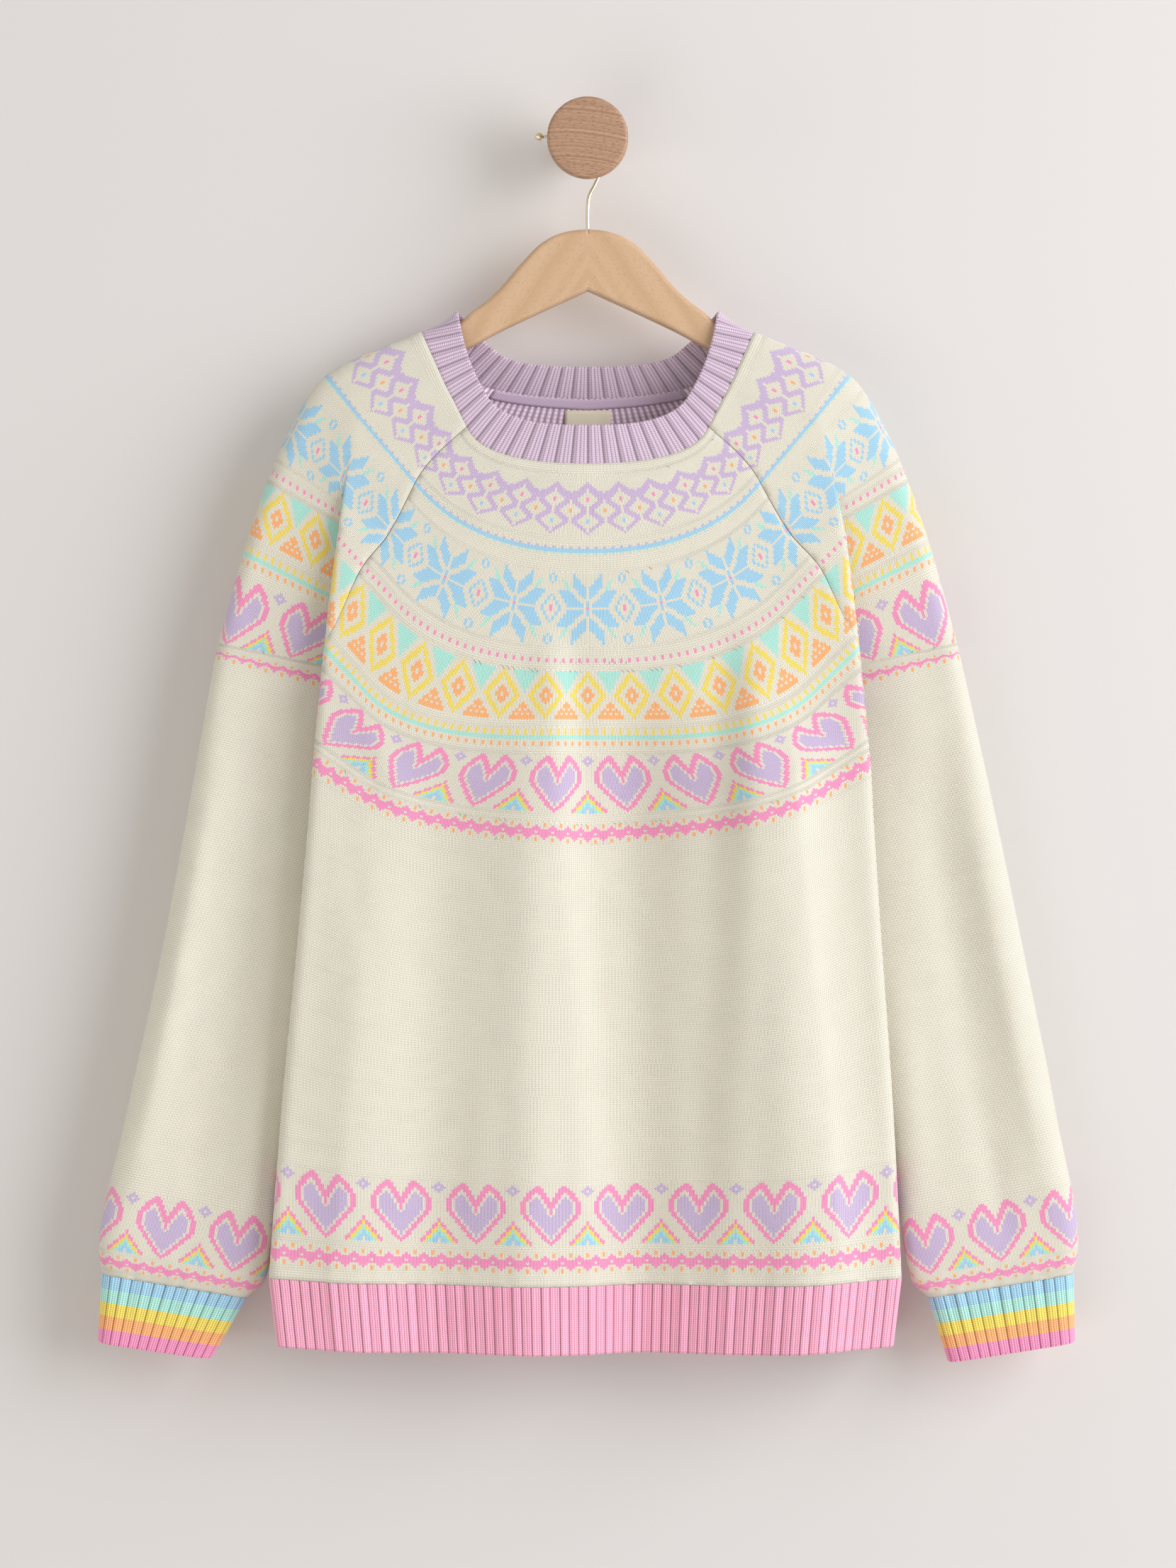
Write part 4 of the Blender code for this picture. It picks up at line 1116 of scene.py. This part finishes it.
for side, sign in SIDES:
    front_half = BodySide("front", side)
    bands = YOKE_BANDS + (
        (SLEEVE_END - SLEEVE_HEARTS_UP, HEARTS, True, 0.00174, HEART_PHASE[side]),
        (SLEEVE_END - SLEEVE_CHAIN_UP, CHAIN, False, 0.00174, 0),
    )

    def sleeve_phase(middle, stitch, front_half=front_half):
        """On the yoke the charts run on from the front panel's last stitch."""
        if middle > UNDERARM_ROW + 0.01:
            return 0
        return -int(round(front_half.reach(min(middle, UNDERARM_ROW - 0.001)) / stitch))

    pieces[f"sleeve_{side}"], edges[f"sleeve_{side}"] = knitted_panel(
        f"sleeve_{side}_cloth", [Sleeve(side)], bands, SLEEVE_END, sign, (41, 161), sleeve_phase
    )


def moved(loop, drop, pull_in=0.0):
    """A hem loop let down, and drawn in by a rib."""
    found = loop.copy()
    found[:, 2] -= drop
    found[:, 0] *= 1.0 - pull_in / HEM_HALF_WIDTH
    return found


def leaving_gap(seam, far_edge, height):
    """The start of a band at its seam, a seam's gap on towards its far edge."""
    return seam * (1 - SEAM_GAP / height) + far_edge * SEAM_GAP / height


# The hem
HEM_HEIGHT = 0.041
HEM_PULL_IN = 0.005
hem_seam = np.concatenate([edges["front"][1], edges["back"][1]])
# 0.46 is how dark the painted shade in the hem's grooves goes
pieces["hem_rib"] = ribbed_band(
    "hem_band", (moved(hem_seam, SEAM_GAP), moved(hem_seam, HEM_HEIGHT, HEM_PULL_IN)), HEM_HEIGHT,
    RIBS["hem"], 0.14, lambda share: "hem", False, 10, 0.46,
)

# The cuffs
for side, sign in SIDES:
    seam = smooth_lookup(SLEEVE_ROWS, SLEEVE_COLUMNS, 1.0)
    outer, inner = (np.array([x, 0.0, z]) for x, z in CUFF_BOTTOM[side])
    points, lengths = oval_section(outer, inner, CUFF_DEPTH, seam["near_depth"])
    loop = along(points, lengths, np.linspace(0.0, lengths[-1], 241)[:-1]) * np.array([sign, 1.0, 1.0])
    top_loop, bottom_loop = spread_loop(edges[f"sleeve_{side}"][1], 240), spread_loop(loop, 240)
    # 0.52 is how dark the painted shade in the cuffs' grooves goes
    pieces[f"cuff_{side}"] = ribbed_band(
        f"cuff_band_{side}", (leaving_gap(top_loop, bottom_loop, CUFF_HEIGHT), bottom_loop), CUFF_HEIGHT,
        RIBS["cuff"], 0.13, lambda share: CUFF_STRIPES[min(4, int(share * 5))], False, 12, 0.52,
    )

# The neckband, on the first rows of the four panels
back_top = edges["back"][0]
middle = len(back_top) // 2
neck_seam = np.concatenate([
    back_top[middle:], edges["sleeve_left"][0][::-1], edges["front"][0], edges["sleeve_right"][0],
    back_top[:middle],
])
top = NECK_TOP
corners = [
    (0.0, top["back_y"], top["back_z"]), (0.046, top["back_y"] - 0.001, top["back_z"]),
    (0.068, -0.024, -0.121), (top["side_x"], MID_Y + 0.009, top["side_z"]),
    (top["side_x"], MID_Y - 0.009, top["side_z"]), (0.074, -0.051, -0.140),
    (0.052, top["front_y"] + 0.002, top["front_z"]), (0.0, top["front_y"], top["front_z"]),
]
points, lengths, _ = rounded_path(corners, (0.040, 0.020, 0.012, 0.012, 0.020, 0.045))
half_rim = along(points, lengths, np.linspace(0.0, lengths[-1], 121))
neck_rim = np.concatenate([half_rim * np.array([-1.0, 1.0, 1.0]), half_rim[-2:0:-1]])
neck_seam, neck_rim = by_quarters(neck_seam, 120), by_quarters(neck_rim, 120)
# 0.66 is how dark the painted shade in the neckband's grooves goes
pieces["neckband"] = ribbed_band(
    "neck_band", (leaving_gap(neck_seam, neck_rim, NECK_HEIGHT), neck_rim), NECK_HEIGHT, RIBS["neck"],
    0.20, lambda share: "neck", True, 12, 0.66,
)


def grid_piece(name, rows, material):
    """A thin closed strip from a grid of points."""
    mesh = Mesh()
    index = [mesh.add_points(points) for points in rows]
    u = np.linspace(0.0, 1.0, len(rows[0]))
    uvs = [np.stack([u, u * 0 + v], axis=1) for v in (0.0, 1.0)]
    for a, b in zip(index, index[1:]):
        mesh.grid(a, b, (1, 1, 1), *uvs)
    made = mesh.build(name, [material])
    solid = made.modifiers.new("thickness", "SOLIDIFY")
    solid.thickness = 0.0006
    solid.offset = 0.0
    return made


# The tape over the back neck seam, and the label under it
TAPE_TOP = 0.0006
TAPE_OFF = WALL + SEAM_GAP + 0.0002
tape_shares = np.linspace(-0.84, 0.84, 61)
tape_rows = []
for row in np.linspace(TAPE_TOP, TAPE_TOP + TAPE_WIDTH, 5):
    points, lengths, _, back_seam = row_loop(row, "right")
    found = along(points, lengths, lengths[-1] - np.abs(tape_shares) * (lengths[-1] - back_seam))
    found[:, 0] *= np.sign(tape_shares)
    found[:, 1] -= TAPE_OFF
    tape_rows.append(found)
pieces["neck_tape"] = grid_piece("tape_strip", tape_rows, TWILL)
label_top = tape_rows[-1][30] + np.array([0.0, 0.0004, -0.0003])
label_rows = []
x = np.linspace(-LABEL_WIDTH / 2, LABEL_WIDTH / 2, 13)
for down in np.linspace(0.0, 1.0, 9):
    sag = 0.0006 * np.sin(down * math.pi * 0.8) + 0.0003 * np.cos(x / LABEL_WIDTH * 5)
    height = np.full(len(x), label_top[2] - LABEL_HEIGHT * down)
    label_rows.append(np.stack([x, label_top[1] - sag, height], axis=1))
pieces["label"] = grid_piece("label_cloth", label_rows, LABEL_WEAVE)


def stand_for(piece, node):
    """The piece rides on the one body and replaces a node, which is hidden."""
    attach(piece, "root")
    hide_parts(node)


for node, made in pieces.items():
    stand_for(made, node)


def in_scene(name, data):
    """A new object of the data, in the scene."""
    made = bpy.data.objects.new(name, data)
    bpy.context.scene.collection.objects.link(made)
    return made


def poly_spline(curve, points):
    """One straight-sided spline through the points."""
    spline = curve.splines.new("POLY")
    spline.points.add(len(points) - 1)
    for point, place in zip(spline.points, points):
        point.co = (*place, 1.0)
    return spline


def catmull(points, steps):
    """A smooth open line through the points."""
    points = np.array(points, float)
    padded = np.concatenate([[2 * points[0] - points[1]], points, [2 * points[-1] - points[-2]]])
    found = []
    for i in range(len(points) - 1):
        p0, p1, p2, p3 = padded[i:i + 4]
        for s in range(steps):
            t = s / steps
            found.append(0.5 * (
                2 * p1 + (p2 - p0) * t + (2 * p0 - 5 * p1 + 4 * p2 - p3) * t * t
                + (3 * p1 - p0 - 3 * p2 + p3) * t ** 3
            ))
    found.append(points[-1])
    return np.array(found)


def flat_solid(name, outline, thickness, rounding, material, y):
    """A plate from its outline in XZ, with rounded edges."""
    curve = bpy.data.curves.new(name, "CURVE")
    curve.dimensions = "2D"
    curve.fill_mode = "BOTH"
    curve.extrude = thickness / 2 - rounding
    curve.bevel_depth = rounding
    curve.offset = -rounding
    curve.bevel_resolution = 4
    curve.resolution_u = 1
    poly_spline(curve, [(x, z, 0.0) for x, z in outline]).use_cyclic_u = True
    helper = in_scene(name + "_outline", curve)
    helper.location = (0.0, y, 0.0)
    helper.rotation_euler = (math.pi / 2, 0.0, 0.0)
    bpy.context.view_layer.update()
    graph = bpy.context.evaluated_depsgraph_get()
    data = bpy.data.meshes.new_from_object(helper.evaluated_get(graph))
    data.transform(helper.matrix_world)
    data.name = name
    made = in_scene(name, data)
    bpy.data.objects.remove(helper)
    data.materials.clear()
    data.materials.append(material)
    return made


def cut_at_mitre(made, sign):
    """Cuts a hanger arm flat at the mitre."""
    work = bmesh.new()
    work.from_mesh(made.data)
    bmesh.ops.remove_doubles(work, verts=work.verts, dist=1e-6)
    everything = work.verts[:] + work.edges[:] + work.faces[:]
    cut = bmesh.ops.bisect_plane(
        work, geom=everything, plane_co=(sign * MITRE_GAP / 2, 0.0, 0.0), plane_no=(sign, 0.0, 0.0),
        clear_inner=True,
    )
    rim = [item for item in cut["geom_cut"] if isinstance(item, bmesh.types.BMEdge)]
    bmesh.ops.holes_fill(work, edges=rim)
    bmesh.ops.recalc_face_normals(work, faces=work.faces)
    for face in work.faces:
        face.smooth = max(abs(face.normal.x), abs(face.normal.y)) < FLAT_FACE
    work.to_mesh(made.data)
    work.free()


# The hanger
MITRE_SPARE = 0.006
MITRE_GAP = 0.00008
FLAT_FACE = 0.995
HANGER_ROUNDING = 0.003
upper = catmull(HANGER_TOP + HANGER_END[:1], 6)
under = catmull((HANGER_END[1],) + HANGER_UNDERSIDE, 6)
for side, sign in SIDES:
    outline = [(sign * x, z) for x, z in np.concatenate([upper, under])]
    outline += [(-sign * MITRE_SPARE, outline[-1][1]), (-sign * MITRE_SPARE, outline[0][1])]
    arm = flat_solid(f"hanger_arm_{side}", outline, HANGER_THICKNESS, HANGER_ROUNDING, BEECH[side], MID_Y)
    cut_at_mitre(arm, sign)
    stand_for(arm, f"hanger_{side}")

# The hook: up out of the hanger, over the peg's shaft and out to its tip
route = [(0.0, -0.0544), (0.0, -0.0420), (0.0010, -0.0340), (0.0045, -0.0270), (0.0085, -0.0170)]
for angle in np.radians(range(-20, 171, 19)):
    route.append((HOOK_RADIUS * math.cos(angle), HOOK_RADIUS * math.sin(angle)))
route += [(-0.0117, 0.0010), (-0.0145, 0.0022), (-0.0190, 0.0030), (HOOK_TIP[0] + 0.0025, HOOK_TIP[1])]
wire = bpy.data.curves.new("hook_wire", "CURVE")
wire.dimensions = "3D"
wire.bevel_depth = WIRE_RADIUS
wire.bevel_resolution = 6
wire.use_fill_caps = True
wire.resolution_u = 1
poly_spline(wire, [(x, MID_Y, z) for x, z in catmull(route, 5)])
wire.materials.append(BRASS)
stand_for(in_scene("hook_wire", wire), "hanger_hook")


def lathe(name, profile, steps, centre, material):
    """A solid of revolution about Y from (radius, y) pairs that start and end on the axis."""
    mesh = Mesh()
    angles = np.linspace(0.0, 2 * math.pi, steps + 1)[:-1]
    rings = []
    for radius, y in profile:
        ring = np.stack([radius * np.cos(angles), np.full(steps, y), radius * np.sin(angles)], axis=1)
        rings.append(mesh.add_points(ring + np.array(centre)))
    u = np.linspace(0.0, 1.0, steps + 1)
    for a, b in zip(rings, rings[1:]):
        uv = np.stack([u, u * 0], axis=1)
        mesh.grid(np.append(a, a[0]), np.append(b, b[0]), (1, 1, 1), uv, uv)
    made = mesh.build(name, [material])
    work = bmesh.new()
    work.from_mesh(made.data)
    bmesh.ops.remove_doubles(work, verts=work.verts, dist=1e-7)
    bmesh.ops.recalc_face_normals(work, faces=work.faces)
    work.to_mesh(made.data)
    work.free()
    return made


BALL_INTO_WIRE = 0.0022
ball_profile = [
    (HOOK_BALL_RADIUS * math.sin(a), -HOOK_BALL_RADIUS * math.cos(a)) for a in np.linspace(0.0, math.pi, 17)
]
ball_centre = (HOOK_TIP[0] - HOOK_BALL_RADIUS + BALL_INTO_WIRE, MID_Y, HOOK_TIP[1])
stand_for(lathe("hook_tip_ball", ball_profile, 32, ball_centre, BRASS), "hook_ball")

# The peg: a disc, barely domed and with a round edge, on a shaft
DISC_ROUNDING = 0.0022
DISC_DOME = 0.0002
SHAFT_CHAMFER = 0.0003
disc_back = -PEG_SHAFT_LENGTH - SEAM_GAP
disc_front = disc_back - PEG_DISC_THICKNESS
flat_radius = PEG_DISC_RADIUS - DISC_ROUNDING
quarter = [(DISC_ROUNDING * math.sin(a), DISC_ROUNDING * math.cos(a)) for a in np.radians(range(0, 91, 15))]
disc_profile = [(0.0, disc_front), (0.012, disc_front + 0.00002), (flat_radius - 0.002, disc_front + 0.0001)]
disc_profile += [(flat_radius + s, disc_front + DISC_DOME + DISC_ROUNDING - c) for s, c in quarter]
disc_profile += [(flat_radius + c, disc_back - DISC_ROUNDING + s) for s, c in quarter]
disc_profile.append((0.0, disc_back))
stand_for(lathe("peg_head", disc_profile, 96, (0.0, 0.0, 0.0), ASH), "peg_disc")
shaft_profile = [
    (0.0, -PEG_SHAFT_LENGTH), (PEG_SHAFT_RADIUS - SHAFT_CHAMFER, -PEG_SHAFT_LENGTH),
    (PEG_SHAFT_RADIUS, -PEG_SHAFT_LENGTH + SHAFT_CHAMFER), (PEG_SHAFT_RADIUS, -SHAFT_CHAMFER),
    (PEG_SHAFT_RADIUS - SHAFT_CHAMFER, 0.0), (0.0, 0.0),
]
stand_for(lathe("peg_stem", shaft_profile, 64, (0.0, 0.0, 0.0), ASH), "peg_shaft")


def stage_wall():
    """The wall: pale and matt from the front, and not there from behind."""
    paint = Nodes("wall_paint")
    paint.feed(paint.shader, {"Base Color": (0.70, 0.675, 0.655, 1.0), "Roughness": 0.9})
    behind = paint.add("NewGeometry", output="Backfacing")
    clear = paint.add("BsdfTransparent")
    mixed = paint.add("MixShader", {0: behind, 1: paint.shader.outputs[0], 2: clear})
    paint.feed(paint.tree.nodes["Material Output"], {"Surface": mixed})
    size, y = 6.0, 0.0004
    data = bpy.data.meshes.new("wall")
    corners = [(-size, y, -size), (size, y, -size), (size, y, size), (-size, y, size)]
    data.from_pydata(corners, [], [(0, 1, 2, 3)])
    data.materials.append(paint.material)
    wall = in_scene("wall", data)
    # the light behind the wall reaches the back of the cloth
    wall.visible_shadow = False


def area_light(name, place, size, power, colour):
    """A round light that looks at the jumper's upper middle."""
    data = bpy.data.lights.new(name, "AREA")
    data.shape = "DISK"
    data.size = size
    data.energy = power
    data.color = colour
    light = in_scene(name, data)
    light.location = place
    away = np.array(place) - np.array(AIM)
    turn = math.atan2(away[0], -away[1])
    light.rotation_euler = (math.atan2(math.hypot(away[0], away[1]), away[2]), 0.0, turn)


stage_wall()
AIM = (0.0, -0.03, -0.40)
area_light("key", (2.7, -1.8, 0.3), 3.2, 121.0, (0.95, 0.955, 1.0))
area_light("side", (-2.7, -1.0, -0.5), 1.4, 8.0, (1.0, 0.965, 0.92))
area_light("fill", (-1.5, -2.7, -1.9), 2.6, 22.0, (1.0, 0.965, 0.92))
area_light("behind", (0.8, 2.6, 0.8), 2.2, 44.0, (1.0, 0.99, 0.98))
world = bpy.data.worlds.new("studio")
bpy.context.scene.world = world
world.use_nodes = True
background = world.node_tree.nodes["Background"]
background.inputs["Color"].default_value = (1.0, 0.972, 0.935, 1.0)
background.inputs["Strength"].default_value = 0.49
bpy.context.scene.view_settings.view_transform = "Standard"

CAMERA_DISTANCE = 3.0
FRAME_HEIGHT = 0.9666
FRAME_PLANE_Y = -0.048
SENSOR = 36.0
camera_data = bpy.data.cameras.new("camera")
camera_data.sensor_width = SENSOR
camera_data.lens = SENSOR * CAMERA_DISTANCE / FRAME_HEIGHT
camera = in_scene("camera", camera_data)
camera.location = (0.0002, FRAME_PLANE_Y - CAMERA_DISTANCE, -0.3977)
camera.rotation_euler = (math.pi / 2, 0.0, 0.0)
bpy.context.scene.camera = camera
